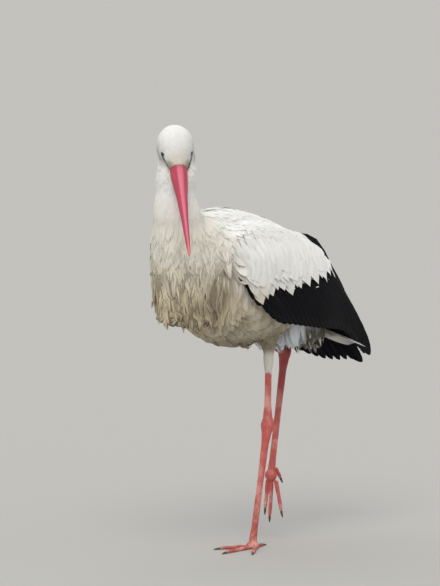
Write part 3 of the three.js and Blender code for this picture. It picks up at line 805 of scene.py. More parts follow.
def vane_tree():
    """Sweeps a thin closed section along each spine and lays out its maps."""
    tree = new_tree("vanes", [
        ("Sides", "NodeSocketInt"), ("Thickness", "NodeSocketFloat"), ("Cup", "NodeSocketFloat"),
        ("Patch", "NodeSocketFloat"), ("Finish", "NodeSocketMaterial"),
    ])
    plan = Plan(tree)
    given = plan.node("NodeGroupInput", out="Geometry")

    def named(name, kind):
        return plan.node("GeometryNodeInputNamedAttribute", {"data_type": kind}, {"Name": name})

    spine = plan.node("GeometryNodeMeshToCurve", None, {"Mesh": given})
    spine = plan.node(
        "GeometryNodeSetCurveNormal", {"mode": "FREE"},
        {"Curve": spine, "Normal": named("sideways", "FLOAT_VECTOR")},
    )
    ring = plan.node(
        "GeometryNodeCurvePrimitiveCircle", {"mode": "RADIUS"},
        {"Resolution": given.also("Sides"), "Radius": 1.0},
    )
    x, y, _ = plan.split(plan.node("GeometryNodeInputPosition"))
    bowed = y * given.also("Thickness") + x * x * given.also("Cup")
    ring = plan.node(
        "GeometryNodeStoreNamedAttribute", {"data_type": "FLOAT", "domain": "POINT"},
        {"Geometry": ring, "Name": "across", "Value": x * 0.5 + 0.5},
    )
    ring = plan.node("GeometryNodeSetPosition", None, {
        "Geometry": ring,
        "Position": plan.node("ShaderNodeCombineXYZ", None, {"X": x, "Y": bowed, "Z": 0.0}),
    })
    vanes = plan.node("GeometryNodeCurveToMesh", None, {
        "Curve": spine, "Profile Curve": ring, "Scale": named("half", "FLOAT"), "Fill Caps": True,
    })
    across, along = named("across", "FLOAT"), named("along", "FLOAT")
    rim = (across - 0.5).size().over(0.49)
    ends = (along - 0.5).size().over(0.4995)
    vanes = plan.node(
        "GeometryNodeStoreNamedAttribute", {"data_type": "BOOLEAN", "domain": "EDGE"},
        {"Geometry": vanes, "Name": "sharp_edge", "Value": rim + ends},
    )
    on_vane = plan.node("ShaderNodeCombineXYZ", None, {"X": across, "Y": along, "Z": 0.0})
    scaled = plan.node(
        "ShaderNodeVectorMath", {"operation": "SCALE"},
        {0: on_vane, "Scale": given.also("Patch")},
    )
    on_skin = plan.node(
        "ShaderNodeVectorMath", {"operation": "ADD"},
        {0: scaled, 1: named("patch", "FLOAT_VECTOR")},
    )
    for name, value in (("vane", on_vane), ("OFBake", on_skin)):
        vanes = plan.node(
            "GeometryNodeStoreNamedAttribute", {"data_type": "FLOAT2", "domain": "CORNER"},
            {"Geometry": vanes, "Name": name, "Value": value},
        )
    for name in ("across", "along", "half", "patch", "sideways"):
        vanes = plan.node("GeometryNodeRemoveAttribute", None, {"Geometry": vanes, "Name": name})
    vanes = plan.node("GeometryNodeRealizeInstances", None, {"Geometry": vanes})
    vanes = plan.node("GeometryNodeSetShadeSmooth", None, {"Geometry": vanes, "Shade Smooth": True})
    vanes = plan.node(
        "GeometryNodeSetMaterial", None, {"Geometry": vanes, "Material": given.also("Finish")},
    )
    plan.node("NodeGroupOutput", None, {"Geometry": vanes})
    return tree


def through_tree(name, mesh, tree, values):
    """The plain mesh that a geometry tree makes of a mesh."""
    piece = link(name, mesh)
    made = piece.modifiers.new("tree", "NODES")
    made.node_group = tree
    for item in tree.interface.items_tree:
        if item.item_type == "SOCKET" and item.in_out == "INPUT" and item.name in values:
            made[item.identifier] = values[item.name]
    result = evaluated_mesh(piece)
    bpy.data.objects.remove(piece)
    return result


ROOT_TREE = root_tree()
VANE_TREE = vane_tree()


def read_vectors(mesh, name, width=3):
    data = mesh.attributes[name].data
    values = np.empty(len(data) * width, np.float32)
    data.foreach_get("vector", values)
    return values.reshape(-1, width).astype(float)


def roots_on(skin_mesh, spacing, seed):
    """Places, outward directions and places on the unwrap, spread over the skin."""
    made = through_tree("roots", skin_mesh, ROOT_TREE, {"Spacing": spacing, "Seed": seed})
    points, _ = mesh_arrays(made)
    outward = unit(read_vectors(made, "outward"))
    patch = np.zeros_like(points)
    patch[:, :2] = read_vectors(made, "unwrap", 2)
    leg = np.empty(len(points), np.float32)
    made.attributes["leg"].data.foreach_get("value", leg)
    bpy.data.meshes.remove(made)
    feathered = leg < 0.5
    return points[feathered], outward[feathered], patch[feathered]


def vanes(name, spines, finish, sides, thickness, cup):
    """One piece of plumage from its spines. Thickness and cup are shares of the half width."""
    count, steps, _ = spines["points"].shape
    mesh = bpy.data.meshes.new(name)
    mesh.vertices.add(count * steps)
    mesh.vertices.foreach_set("co", spines["points"].astype(np.float32).ravel())
    first = (np.arange(count)[:, None] * steps + np.arange(steps - 1)).ravel()
    mesh.edges.add(len(first))
    mesh.edges.foreach_set("vertices", np.stack([first, first + 1], 1).astype(np.int32).ravel())

    def spread(values):
        return np.repeat(values, steps, axis=0)

    set_attribute(mesh, "sideways", spines["sideways"], "FLOAT_VECTOR")
    set_attribute(mesh, "half", spines["half"])
    set_attribute(mesh, "along", np.tile(spines["along"], count))
    set_attribute(mesh, "tint", spread(spines["tint"]))
    set_attribute(mesh, "patch", spread(spines["patch"]), "FLOAT_VECTOR")
    mesh.update()
    made = through_tree(name, mesh, VANE_TREE, {
        "Sides": sides, "Thickness": thickness, "Cup": cup, "Patch": PATCH, "Finish": finish,
    })
    made.name = name
    piece = link(name, made)
    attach(piece, BODY)
    triangles = sum(len(p.vertices) - 2 for p in made.polygons)
    print(f"{name}: {count} feathers, {triangles} triangles")
    return piece


# ------------------------------------------------------------------ the lie of the plumage

def wander(points, size, seed):
    """A smooth random value, mostly between -1 and 1, that turns over the given size."""
    start = Vector((7.3, 3.1, 5.7)) * seed
    return np.array([noise.noise(Vector(p / size) + start) for p in points]) * 1.6


def lie(points):
    """The way that feathers point at each place, before they are laid along the skin."""
    x, y, z = millimetres(points)
    side = np.sign(x)

    def pick(share, now, then):
        return now + (then - now) * share[:, None]

    def everywhere(direction):
        return np.tile(unit(np.array(direction, float)), (len(points), 1))

    flank = everywhere((0, 0.86, -0.50))
    belly = everywhere((0, 0.97, -0.24))
    way = pick(1 - rise(z, 345, 400), flank, belly)
    wing = everywhere((0, 0.42, -0.91))
    wing = pick(rise(z, 500, 560), wing, everywhere((0, 0.80, -0.60)))
    way = pick(rise(np.abs(x), 52, 70) * rise(z, 430, 460) * rise(y, -150, -110), way, wing)
    mantle = everywhere((0, 0.96, -0.28))
    mantle[:, 0] += 0.18 * side
    way = pick(rise(z, 545, 590) * rise(y, -170, -140), way, mantle)
    bib = everywhere((0, 0.08, -1.0))
    way = pick(1 - rise(y, -178, -120), way, bib)
    vent = everywhere((0, 0.78, -0.62))
    way = pick(rise(y, 40, 90) * (1 - rise(z, 370, 400)), way, vent)
    neck = everywhere((0, 0.05, -1.0))
    way = pick(rise(z, 590, 625), way, neck)

    _, forward, _ = in_head(points)
    over = np.tile(-HEAD_FORWARD, (len(points), 1))
    back = np.tile(HEAD_BACK, (len(points), 1))
    over = pick(1 - rise(forward, -22, 6), over, back)
    behind = ((points - HEAD_AT) @ HEAD_BACK) / MM
    over = pick(rise(behind, 8, 24), over, neck)
    way = pick(rise(z, 676, 704), way, over)
    thigh = 1 - rise(THIGHS.distance(points) / MM, 1.0, 7.0)
    way = pick(thigh * (1 - rise(z, 345, 380)), way, everywhere((0, 0.05, -1.0)))
    return unit(way)


def flattened(way, outward):
    """The part of a direction that lies along the surface."""
    return unit(way - outward * (way * outward).sum(1, keepdims=True))


def turned(way, axis, angle):
    """A direction turned about an axis that it is square to."""
    angle = np.asarray(angle)[:, None]
    return way * np.cos(angle) + np.cross(axis, way) * np.sin(angle)


SUNK = 0.5 * MM  # how deep a feather's root sits in the skin
ROLL = 0.10  # each feather leans this much over the next one below


def lay(surface, roots, outward, patch, shape, length, width, lift, ruffle=0.05, wave=0.0,
        cling=1.0, sag=0.0, flow=lie):
    """Spines that start in the skin and rise slowly to their lift as they follow it.

    shape holds (share of the length, share of the width) at each station. Neighbours turn and
    wave together. A loose spine, with a cling under 1, goes on in its own direction where the
    skin falls away, and sags.
    """
    count = len(roots)
    along = np.array([share for share, _ in shape])
    fullness = np.array([full for _, full in shape])
    points = np.empty((count, len(shape), 3))
    sideways, normals = np.empty_like(points), np.empty_like(points)
    here = roots.copy()
    normal = outward.copy()
    heading = flattened(flow(roots), normal)
    clump, swing = wander(roots, 26 * MM, 1), wander(roots, 15 * MM, 2)
    heading = turned(heading, normal, ruffle * (rng.normal(0, 1, count) + 1.6 * clump))
    lean = ROLL * np.where(roots[:, 0] > 0, 1, -1) + rng.normal(0, 0.06, count)
    for k, share in enumerate(along):
        if k:
            here = here + heading * ((share - along[k - 1]) * length)[:, None]
        place, near = surface.nearest(here)
        height = ((here - place) * near).sum(1)
        wanted = lift * (0.12 + 0.88 * share) if k else np.full(count, -SUNK)
        snapped = place + near * wanted[:, None]
        hold = np.where(height < wanted, 1.0, cling)[:, None]
        here = snapped * hold + here * (1 - hold)
        normal = unit(near * hold + normal * (1 - hold)) if k else near
        wish = flow(here) if k % 2 == 0 else heading
        heading = unit(heading * 0.6 + wish * 0.4 + np.array([0, 0, -sag]))
        on_skin = flattened(heading, normal)
        heading = unit(on_skin * hold + heading * (1 - hold))
        bend = wave * swing * math.cos(2 * math.pi * share) * 3 / len(shape)
        heading = turned(heading, normal, bend)
        points[:, k] = here
        sideways[:, k] = turned(unit(np.cross(heading, normal)), heading, lean)
        normals[:, k] = normal
    return {
        "points": points, "sideways": sideways, "normals": normals,
        "half": width[:, None] / 2 * fullness, "along": along, "tint": rng.random(count),
        "patch": patch - [PATCH / 2, PATCH / 2, 0],
    }


def drawn_together(spines, guides, nearest, hold):
    """Draws each feather towards the tip of its lock."""
    pull = (hold * spines["along"] ** 1.5)[None, :, None]
    spines["points"] += (guides["points"][nearest] - spines["points"]) * pull
    return spines


STRAND = [(0, 0.7), (0.3, 1.0), (0.6, 0.9), (0.85, 0.5), (1.0, 0.06)]


def frayed(spines, strands, ragged):
    """Parts each feather into narrow strands side by side, the middle one the longest."""
    count = len(spines["points"])
    along = np.array([share for share, _ in STRAND])
    fullness = np.array([full for _, full in STRAND])
    everyone = np.arange(count)
    made = {key: [] for key in ("points", "sideways", "half", "tint", "patch")}
    for place in np.linspace(-1, 1, strands):
        aside = place * 0.66 + rng.normal(0, 0.10, count)
        reach = 1 - ragged * (0.7 * np.abs(aside) ** 1.5 + rng.random(count))
        points, sideways, half = [], [], []
        for share, full in zip(along, fullness):
            at = share * reach
            after = np.clip(np.searchsorted(spines["along"], at), 1, len(spines["along"]) - 1)
            low, high = spines["along"][after - 1], spines["along"][after]
            blend = (at - low) / (high - low)

            def between(values):
                weight = blend.reshape(-1, *[1] * (values.ndim - 2))
                return values[everyone, after - 1] * (1 - weight) + values[everyone, after] * weight

            wide = between(spines["half"])
            across = unit(between(spines["sideways"]))
            drop = between(spines["normals"]) * (0.12 * aside ** 2 * wide)[:, None]
            points.append(between(spines["points"]) + across * (aside * wide)[:, None] - drop)
            sideways.append(across)
            half.append(spines["half"].max(1) * 1.25 / strands * full)
        made["points"].append(np.stack(points, 1))
        made["sideways"].append(np.stack(sideways, 1))
        made["half"].append(np.stack(half, 1))
        made["tint"].append(np.clip(spines["tint"] + rng.normal(0, 0.12, count), 0, 1))
        made["patch"].append(spines["patch"])
    return {key: np.concatenate(values) for key, values in made.items()} | {"along": along}


TINY = [(0, 0.55), (0.5, 1.0), (1.0, 0.14)]
ROUND = [(0, 0.45), (0.3, 0.90), (0.62, 1.0), (0.84, 0.80), (0.95, 0.46), (1.0, 0.10)]
LANCE = [(0, 0.45), (0.28, 0.90), (0.55, 1.0), (0.8, 0.55), (1.0, 0.06)]
PLUME = [(0, 0.40), (0.18, 0.80), (0.4, 1.0), (0.62, 0.90), (0.82, 0.52), (1.0, 0.05)]


# ------------------------------------------------------------------ edges of the wings

UNDER_COVERTS = 7.5  # the black feathers lie this deep under the outside of the white ones


class WingShape:
    """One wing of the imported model, read by its sections along Y."""

    def __init__(self, side):
        self.side = side
        self.sign = 1 if side == "left" else -1
        self.coverts = self.tree_of(f"wing_{side}_coverts")
        self.flight = self.tree_of(f"wing_{side}_flight")
        self.white_edge = self.border(f"wing_{side}_coverts", min)
        self.black_edge = self.border(f"wing_{side}_flight", min)
        self.black_top = self.border(f"wing_{side}_flight", max)
        self.white_top = self.border(f"wing_{side}_coverts", max)

    @staticmethod
    def tree_of(name):
        mesh = merged_copy([name], 0)
        return BVHTree.FromPolygons(
            [v.co.copy() for v in mesh.vertices], [tuple(p.vertices) for p in mesh.polygons],
        )

    @staticmethod
    def border(name, choose):
        """The lowest or highest Z of the node at any Y, in millimetres."""
        mesh = merged_copy([name], 0)
        points, _ = mesh_arrays(mesh)
        points /= MM
        ends = np.array([e.vertices[:] for e in mesh.edges])
        a, b = points[ends[:, 0]], points[ends[:, 1]]
        low, high = points[:, 1].min(), points[:, 1].max()
        stations = np.linspace(low + 0.5, high - 0.5, 90)
        heights = []
        for y in stations:
            crossing = (a[:, 1] - y) * (b[:, 1] - y) < 0
            share = (y - a[crossing, 1]) / (b[crossing, 1] - a[crossing, 1])
            heights.append(choose(a[crossing, 2] + share * (b[crossing, 2] - a[crossing, 2])))
        return lambda y: np.interp(y, stations, heights)

    def out_at(self, y, z, tree):
        """How far out, in millimetres, the wing's outer side lies at (y, z), or None."""
        start = Vector((self.sign * 0.2, y * MM, z * MM))
        hit = tree.ray_cast(start, Vector((-self.sign, 0, 0)))
        return None if hit[0] is None else hit[0].x / MM * self.sign

    def outside(self, y, z):
        """The outer side of the black feathers at (y, z), or of their place under the white."""
        flight = self.out_at(y, z, self.flight)
        if flight is not None:
            return flight
        coverts = self.out_at(y, z, self.coverts)
        return None if coverts is None else coverts - UNDER_COVERTS


WINGS = {side: WingShape(side) for side in ("left", "right")}
COVERTS = {side: Surface(merged_copy([f"wing_{side}_coverts"], 0)) for side in WINGS}
COVERING = Surface(merged_copy(["wing_left_flight", "wing_right_flight", "tail"], 0))
COVERING_FRONT = -70 * MM  # the black feathers hide the skin only behind this Y
COVERING_REACH = 60 * MM
BILL = Surface(merged_copy(["bill_upper", "bill_lower"], 0))
BILL_REACH = 1.2 * MM


def is_hidden(points, outward):
    """Whether the wings, the tail or the bill's base lie right over each place."""
    return np.array([
        (p[1] > COVERING_FRONT
         and COVERING.tree.ray_cast(Vector(p + n * MM), Vector(n), COVERING_REACH)[0] is not None)
        or BILL.tree.ray_cast(Vector(p), Vector(n), BILL_REACH)[0] is not None
        for p, n in zip(points, outward)
    ], dtype=bool)


# ------------------------------------------------------------------ plumage over the skin

class Plumage:
    """Grows the coat's pieces from the skin."""

    def __init__(self, skin):
        self.mesh = skin.data
        self.surface = Surface(skin.data)
        self.white = material("plumage", paint_plumage)
        self.black = material("flight_feathers", paint_flight)

    def roots(self, spacing, seed, zone):
        points, outward, patch = roots_on(self.mesh.copy(), spacing * MM, seed)
        wanted = zone(points, outward)
        points, outward, patch = points[wanted], outward[wanted], patch[wanted]
        seen = ~is_hidden(points, outward) & (lore_share(points) < 0.5)
        return points[seen], outward[seen], patch[seen]

    def cover(self, name, spacing, seed, zone, shape, length, width, lift, slot="plumage_white",
              strands=1, ragged=0.18, locks=0, hold=0.0, **how):
        """Lays feathers over a zone. With locks, they gather round guides that far apart."""
        def laid(points, outward, patch, sunken):
            measures = []
            for measure in (length, width, lift):
                value = measure(points) if callable(measure) else measure
                measures.append(np.broadcast_to(value, len(points)) * MM)
            measures[0] = measures[0] * rng.uniform(0.86, 1.0, len(points))
            measures[2] = measures[2] * sunken
            return lay(self.surface, points, outward, patch, shape, *measures, **how)

        points, outward, patch = self.roots(spacing, seed, zone)
        if locks:
            middle, *rest = self.roots(locks, seed + 100, zone)
            finder = KDTree(len(middle))
            for k, place in enumerate(middle):
                finder.insert(place, k)
            finder.balance()
            found = [finder.find(place) for place in points]
            apart = np.clip([away / (locks * MM) for _, _, away in found], 0, 1)
            guides = laid(middle, *rest, 1.0)
            spines = laid(points, outward, patch, 1 - 0.5 * apart)
            spines = drawn_together(spines, guides, [k for _, k, _ in found], hold)
            # here tint is high in the middle of a lock and low at its borders, which the plumage
            # shader paints as light and shade
            spines["tint"] = np.clip(1.0 - 1.1 * apart + rng.normal(0, 0.12, len(points)), 0, 1)
        else:
            spines = laid(points, outward, patch, 1.0)
        if strands > 1:
            spines = frayed(spines, strands, ragged)
        spines = clear_of_face(spines)
        piece = vanes(name, spines, self.white, sides=4, thickness=0.08, cup=0.10)


def clear_of_face(spines):
    """Leaves out the feathers that would lie over an eye or the bare skin beside the bill."""
    count, steps, _ = spines["points"].shape
    every = spines["points"].reshape(-1, 3)
    over = (lore_share(every) > 0.5).reshape(count, steps).any(1)
    return {key: values if key == "along" else values[~over] for key, values in spines.items()}


ROWS_HIGH = 62  # the rows of large coverts start this far above the border with the black
WING_REACH = 8.5 * MM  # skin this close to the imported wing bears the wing's feathers
THIGH_REACH = 3.6 * MM


def above_border(points):
    """How far each place lies above the lower edge of the wing's white part."""
    x, y, z = millimetres(points)
    return z - np.where(x > 0, WINGS["left"].white_edge(y), WINGS["right"].white_edge(y))


def on_wing(points):
    """Whether each place lies under the white part of a wing."""
    x, y, _ = millimetres(points)
    near = np.zeros(len(points), bool)
    for side, wing in WINGS.items():
        mine = np.sign(x) == wing.sign
        near[mine] = COVERTS[side].distance(points[mine]) < WING_REACH
    return near & (y > -180) & (above_border(points) > 8)


def under_wing(points):
    """Whether each place lies in the fold between the body and a closed wing."""
    x, y, z = millimetres(points)
    edge = np.where(x > 0, WINGS["left"].black_edge(y), WINGS["right"].black_edge(y))
    return (y > -60) & (z > edge + 8)


def on_thigh(points):
    return THIGHS.distance(points) < THIGH_REACH


def is_apart(points):
    """Whether each place belongs to a thigh or a wing and not to the belly."""
    return on_thigh(points) | on_wing(points) | under_wing(points)


# Each zone says which roots belong to a piece of the coat. The head's starts lower than the neck's
# ends, so that the two lap.

def head_zone(points, outward):
    _, _, z = millimetres(points)
    return z > 682


def neck_zone(points, outward):
    _, _, z = millimetres(points)
    return (z > 590) & (z <= 690)


def bib_zone(points, outward):
    _, y, z = millimetres(points)
    return (y < -138) & (z <= 606) & ~on_wing(points)


def lock_zone(points, outward):
    """The upper part of the breast, whose long locks hang over the shorter feathers below."""
    _, y, z = millimetres(points)
    return bib_zone(points, outward) & (z > bib_floor(points) + 26) & (y < -146)


def wing_zone(points, outward):
    return on_wing(points) & (above_border(points) > ROWS_HIGH - 22)


def wing_length(points):
    """Short near the border, where the large coverts take over."""
    return np.clip((above_border(points) - 14) / 0.9, 12, 46)


def back_zone(points, outward):
    _, y, z = millimetres(points)
    return (y >= -138) & (z > 500) & (z <= 602) & ~on_wing(points)


def flank_zone(points, outward):
    _, y, z = millimetres(points)
    return (y >= -142) & (y < 60) & (z <= 500) & ~is_apart(points)


def vent_zone(points, outward):
    _, y, z = millimetres(points)
    return (y >= 60) & (z <= 500) & ~is_apart(points)


def thigh_zone(points, outward):
    return on_thigh(points)


BIB_LOWEST = 398  # Z of the longest hanging tips


def bib_floor(points):
    """The height of the tips of the hanging locks, lowest in the middle of the breast."""
    x, _, _ = millimetres(points)
    return (
        BIB_LOWEST + 34 * rise(-x, 0, 44) + 20 * rise(x, 46, 74) + 7 * wander(points, 12 * MM, 5)
    )


def lock_length(points):
    """Down to the uneven lower edge of the breast's feathers, and shorter up the neck."""
    _, _, z = millimetres(points)
    return np.minimum((z - bib_floor(points)) / 0.95, 88 - 40 * rise(z, 520, 606))


def bib_length(points):
    _, _, z = millimetres(points)
    return np.clip((z - bib_floor(points)) / 0.95, 20, 50)


def head_length(points):
    """Short on the forehead and face, longer towards the nape, shortest in front of the eyes."""
    _, forward, _ = in_head(points)
    length = 12.5 - 6.0 * rise(forward, -18, 26)
    for side in ("left", "right"):
        away = np.linalg.norm(points - centre_of("eye_" + side), axis=1) / MM
        length = np.minimum(length, np.maximum(away - 4.5, 2.8))
    return length


def head_lift(points):
    """Close on the crown and full on the cheeks."""
    left, forward, up = in_head(points)
    cheek = rise(np.abs(left), 10, 20) * (1 - rise(up, -12, 0)) * (1 - rise(forward, 20, 34))
    return 1.0 + 3.2 * cheek


def neck_lift(points):
    """Closest in the middle of the neck and fullest under the head."""
    _, _, z = millimetres(points)
    return 2.6 - 1.0 * rise(z, 620, 650) + 2.6 * rise(z, 655, 680)


def breast_lift(points):
    _, _, z = millimetres(points)
    return (9.5 - 5.0 * rise(z, 500, 600)) * rng.uniform(0.7, 1, len(points))


def tuft_zone(points, outward):
    """The underside behind the legs."""
    _, y, z = millimetres(points)
    return (y > 28) & (z <= 400) & (outward[:, 2] < 0.2) & ~on_thigh(points)


def tuft_length(points):
    _, y, z = millimetres(points)
    floor = 332 - 12 * rise(y, 78, 100) + 5 * wander(points, 16 * MM, 7)
    return np.clip((z - floor) / 0.8, 14, 46)


def hanging(points):
    """Straight down and a little towards the tail."""
    return np.tile(unit(np.array([0.0, 0.42, -0.90])), (len(points), 1))


VENT_FLOOR = 320  # the feathers behind the legs end at this height


def vent_length(points):
    _, _, z = millimetres(points)
    return np.clip((z - VENT_FLOOR - 5 * wander(points, 14 * MM, 6)) / 0.7, 9, 44)


def thigh_length(points):
    """Short enough at its lower end that no feather hangs over the bare leg."""
    _, y, z = millimetres(points)
    left = np.clip((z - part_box("thigh_left")[0].z / MM) / 0.9 + 4, 9, 17)
    right = np.clip((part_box("thigh_right")[1].y / MM - y) / 0.9, 5, 17)
    return np.where(points[:, 0] > 0, left, right)


def neck_length(points):
    _, _, z = millimetres(points)
    return 36 - 21 * rise(z, 600, 690)


def grow_plumage(plumage):
    """Spacing, seed, zone, outline, length, width and lift of each piece, in millimetres."""
    plumage.cover(
        "coat_head", 1.35, 11, head_zone, TINY, head_length, 2.0, head_lift, ruffle=0.05,
    )
    plumage.cover(
        "coat_neck", 2.1, 12, neck_zone, LANCE, neck_length, 4.0, neck_lift, ruffle=0.06,
        wave=0.3,
    )
    plumage.cover(
        "coat_breast_under", 6.0, 13, bib_zone, LANCE, bib_length, 13, 5.0, "plumage_cream",
        ruffle=0.08, wave=0.3, strands=4,
    )
    plumage.cover(
        "coat_breast", 3.5, 14, lock_zone, PLUME, lock_length, 5.4, breast_lift, "plumage_cream",
        ruffle=0.05, wave=1.9, cling=0.15, sag=0.14, locks=12, hold=0.85,
    )
    plumage.cover(
        "coat_back", 5.6, 15, back_zone, ROUND, 42, 16, 2.6, ruffle=0.07, strands=4,
    )
    plumage.cover(
        "coat_flanks", 6.2, 16, flank_zone, ROUND, 46, 16, 5.0, "plumage_cream",
        ruffle=0.12, wave=0.6, strands=4, locks=19, hold=0.5,
    )
    plumage.cover(
        "coat_vent", 5.0, 17, vent_zone, PLUME, vent_length, 11, 5.5, ruffle=0.14, wave=0.5,
        cling=0.5, sag=0.05, strands=4, locks=12, hold=0.6,
    )
    plumage.cover(
        "coat_tufts", 3.6, 20, tuft_zone, PLUME, tuft_length, 8.0, 3.0, ruffle=0.10, wave=0.8,
        cling=0.0, sag=0.2, locks=13, hold=0.6, flow=hanging,
    )
    plumage.cover(
        "coat_wings", 6.0, 18, wing_zone, ROUND, wing_length, 18, 3.0, ruffle=0.07, strands=4,
        ragged=0.12,
    )
    plumage.cover(
        "coat_thighs", 2.2, 19, thigh_zone, LANCE, thigh_length, 2.8, 1.4, "plumage_cream",
        ruffle=0.08,
    )


# ------------------------------------------------------------------ wing and tail feathers

def nearest_patch(unwrap, points):
    """The place on the unwrap of the skin nearest to each point."""
    finder, uv = unwrap
    found = [finder.find_nearest(Vector(p))[2] for p in points]
    patch = np.zeros((len(points), 3))
    patch[:, :2] = uv[found]
    return patch


def unwrap_of(mesh):
    """A finder of faces and each face's place on the unwrap."""
    points, _ = mesh_arrays(mesh)
    tree = BVHTree.FromPolygons(points.tolist(), [tuple(p.vertices) for p in mesh.polygons])
    uv = np.empty(len(mesh.loops) * 2, np.float32)
    mesh.attributes["unwrap"].data.foreach_get("vector", uv)
    uv = uv.reshape(-1, 2)
    return tree, np.array([uv[p.loop_start] for p in mesh.polygons])


def softened(values, share=0.25):
    """Each value drawn towards its neighbours."""
    return np.convolve(np.pad(values, 1, mode="edge"), [share, 1 - 2 * share, share], mode="valid")


SEARCH_STEP = 1.5
SEARCH_STEPS = 24
NEAR_MIDDLE = 20.0  # X of a feather where the wing has no side at all


def on_wing_side(wing, y, z, shape, width, roll, height):
    """A long vane's spine through (y, z) in millimetres, at a height over the wing's side."""
    def out(at_y, at_z):
        """The wing's outer side there, or at the nearest height that has one."""
        for _ in range(SEARCH_STEPS):
            found = wing.outside(at_y, at_z)
            if found is not None:
                return found
            at_z += SEARCH_STEP if at_z < wing.black_edge(at_y) + 2 else -SEARCH_STEP
        return NEAR_MIDDLE

    side = np.array([out(*place) for place in zip(y, z)])
    slope = np.array([(out(a, b + 8) - out(a, b - 8)) / 16 for a, b in zip(y, z)])
    side, slope = softened(softened(side)) + height, softened(softened(slope))
    points = np.stack([wing.sign * side, y, z], 1) * MM
    heading = unit(np.gradient(points, axis=0))
    upward = unit(np.stack([wing.sign * slope, np.zeros(len(y)), np.ones(len(y))], 1))
    normal = unit(np.cross(heading, upward)) * -wing.sign
    normal = turned(normal, heading, np.full(len(y), roll * wing.sign))
    return points, unit(np.cross(heading, normal)), np.array([f for _, f in shape]) * width / 2


# outlines of the large feathers: shares of the length and of the width
QUILL = [
    (0, 0.5), (0.14, 0.8), (0.3, 0.95), (0.46, 1.0), (0.6, 1.0), (0.74, 0.98), (0.85, 0.88),
    (0.93, 0.66), (0.98, 0.34), (1.0, 0.08),
]
POINTED = [(0, 0.6), (0.25, 0.9), (0.5, 1.0), (0.7, 0.90), (0.84, 0.56), (0.94, 0.22), (1, 0.03)]
BLUNT = [(0, 0.6), (0.25, 0.9), (0.5, 1.0), (0.72, 0.98), (0.86, 0.78), (0.95, 0.46), (1, 0.06)]


def gathered(parts, shape, unwrap):
    """Spines of single feathers as one set for vanes."""
    points = np.array([p for p, _, _ in parts])
    return {
        "points": points, "sideways": np.array([s for _, s, _ in parts]),
        "half": np.array([h for _, _, h in parts]) * MM,
        "along": np.array([s for s, _ in shape]), "tint": rng.random(len(parts)),
        "patch": nearest_patch(unwrap, points[:, 0]) - [PATCH / 2, PATCH / 2, 0],
    }


MIDDLE = -3.2  # X of the bird's middle
FAN_COUNT = 38
FAN_FRONT = -142
FAN_TURN = 0.80  # the share of the fan whose tips lie on the lower edge
FAN_RETREAT = 62  # the topmost tip lies this far ahead of the hindmost one
FLIGHT_WIDTH = 21
FLIGHT_GAIN = 9  # the hindmost feathers are wider by this
FLIGHT_BOW = 24


def flight_fan(wing):
    """Black feathers from the hindmost low one at the front to the topmost over the rump."""
    parts = []
    tip_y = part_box(f"wing_{wing.side}_flight")[1].y / MM
    share = np.array([s for s, _ in QUILL])
    for i in range(FAN_COUNT):
        place = i / (FAN_COUNT - 1)
        low = min(place / FAN_TURN, 1)
        rear = max((place - FAN_TURN) / (1 - FAN_TURN), 0)
        end_y = FAN_FRONT + (tip_y - 3 - FAN_FRONT) * low - rear * FAN_RETREAT
        lifted = 13 * rise(end_y, -100, -85) * (1 - rise(end_y, -95, -35))
        lifted += 8 * (1 - rise(end_y, -128, -108))
        end_z = wing.black_edge(end_y) + 2 + lifted
        if rear > 0:
            end_z += (wing.black_top(end_y) - 9 - end_z) * min(rear * 1.1, 1)
        start_y = min(FAN_FRONT - 8 + 330 * low ** 1.3, 168)
        start_z = min(wing.white_edge(start_y) + 18, wing.black_top(start_y) - 8)
        if rear > 0:
            start_y = 150 - 26 * rear
            start_z = wing.black_edge(start_y) + (
                wing.white_top(start_y) - 14 - wing.black_edge(start_y)
            ) * (0.55 + 0.42 * rear)
        y = start_y + (end_y - start_y) * share
        z = start_z + (end_z - start_z) * share + FLIGHT_BOW * low * share * (1 - share)
        width = FLIGHT_WIDTH + FLIGHT_GAIN * low
        parts.append(on_wing_side(wing, y, z, QUILL, width, roll=0.10, height=-1.6))
    return parts


COVERT_TIPS = {  # (y, z) of the long white points over the black
    "left": [
        (-138, 484), (-124, 472), (-112, 455), (-97, 441), (-84, 449), (-70, 453), (-57, 462),
        (-38, 459), (-26, 462), (-13, 448), (1, 460), (12, 457),
        (26, 464), (40, 457), (56, 466), (70, 457), (88, 465), (107, 456), (130, 462), (148, 464),
        (160, 456),
    ],
    "right": [
        (-138, 488), (-124, 476), (-110, 460), (-94, 446), (-83, 455), (-70, 455), (-52, 452),
        (-32, 462), (-10, 452), (10, 459),
        (30, 455), (50, 463), (68, 456), (86, 464), (104, 458), (122, 466), (140, 462),
        (158, 470), (172, 476),
    ],
}
TIPS_LEVEL = 458  # the rows above follow the points half as much, round this Z
ROW_COUNT = 4
ROW_RISE = 17
COVERT_SLANT = (0.42, -0.91)  # towards the tail and down
COVERT_LENGTH = 66
COVERT_WIDTH = 27
COVERT_NARROWING = 12  # what the hindmost lose of that width
COVERTS_FRONT = -158


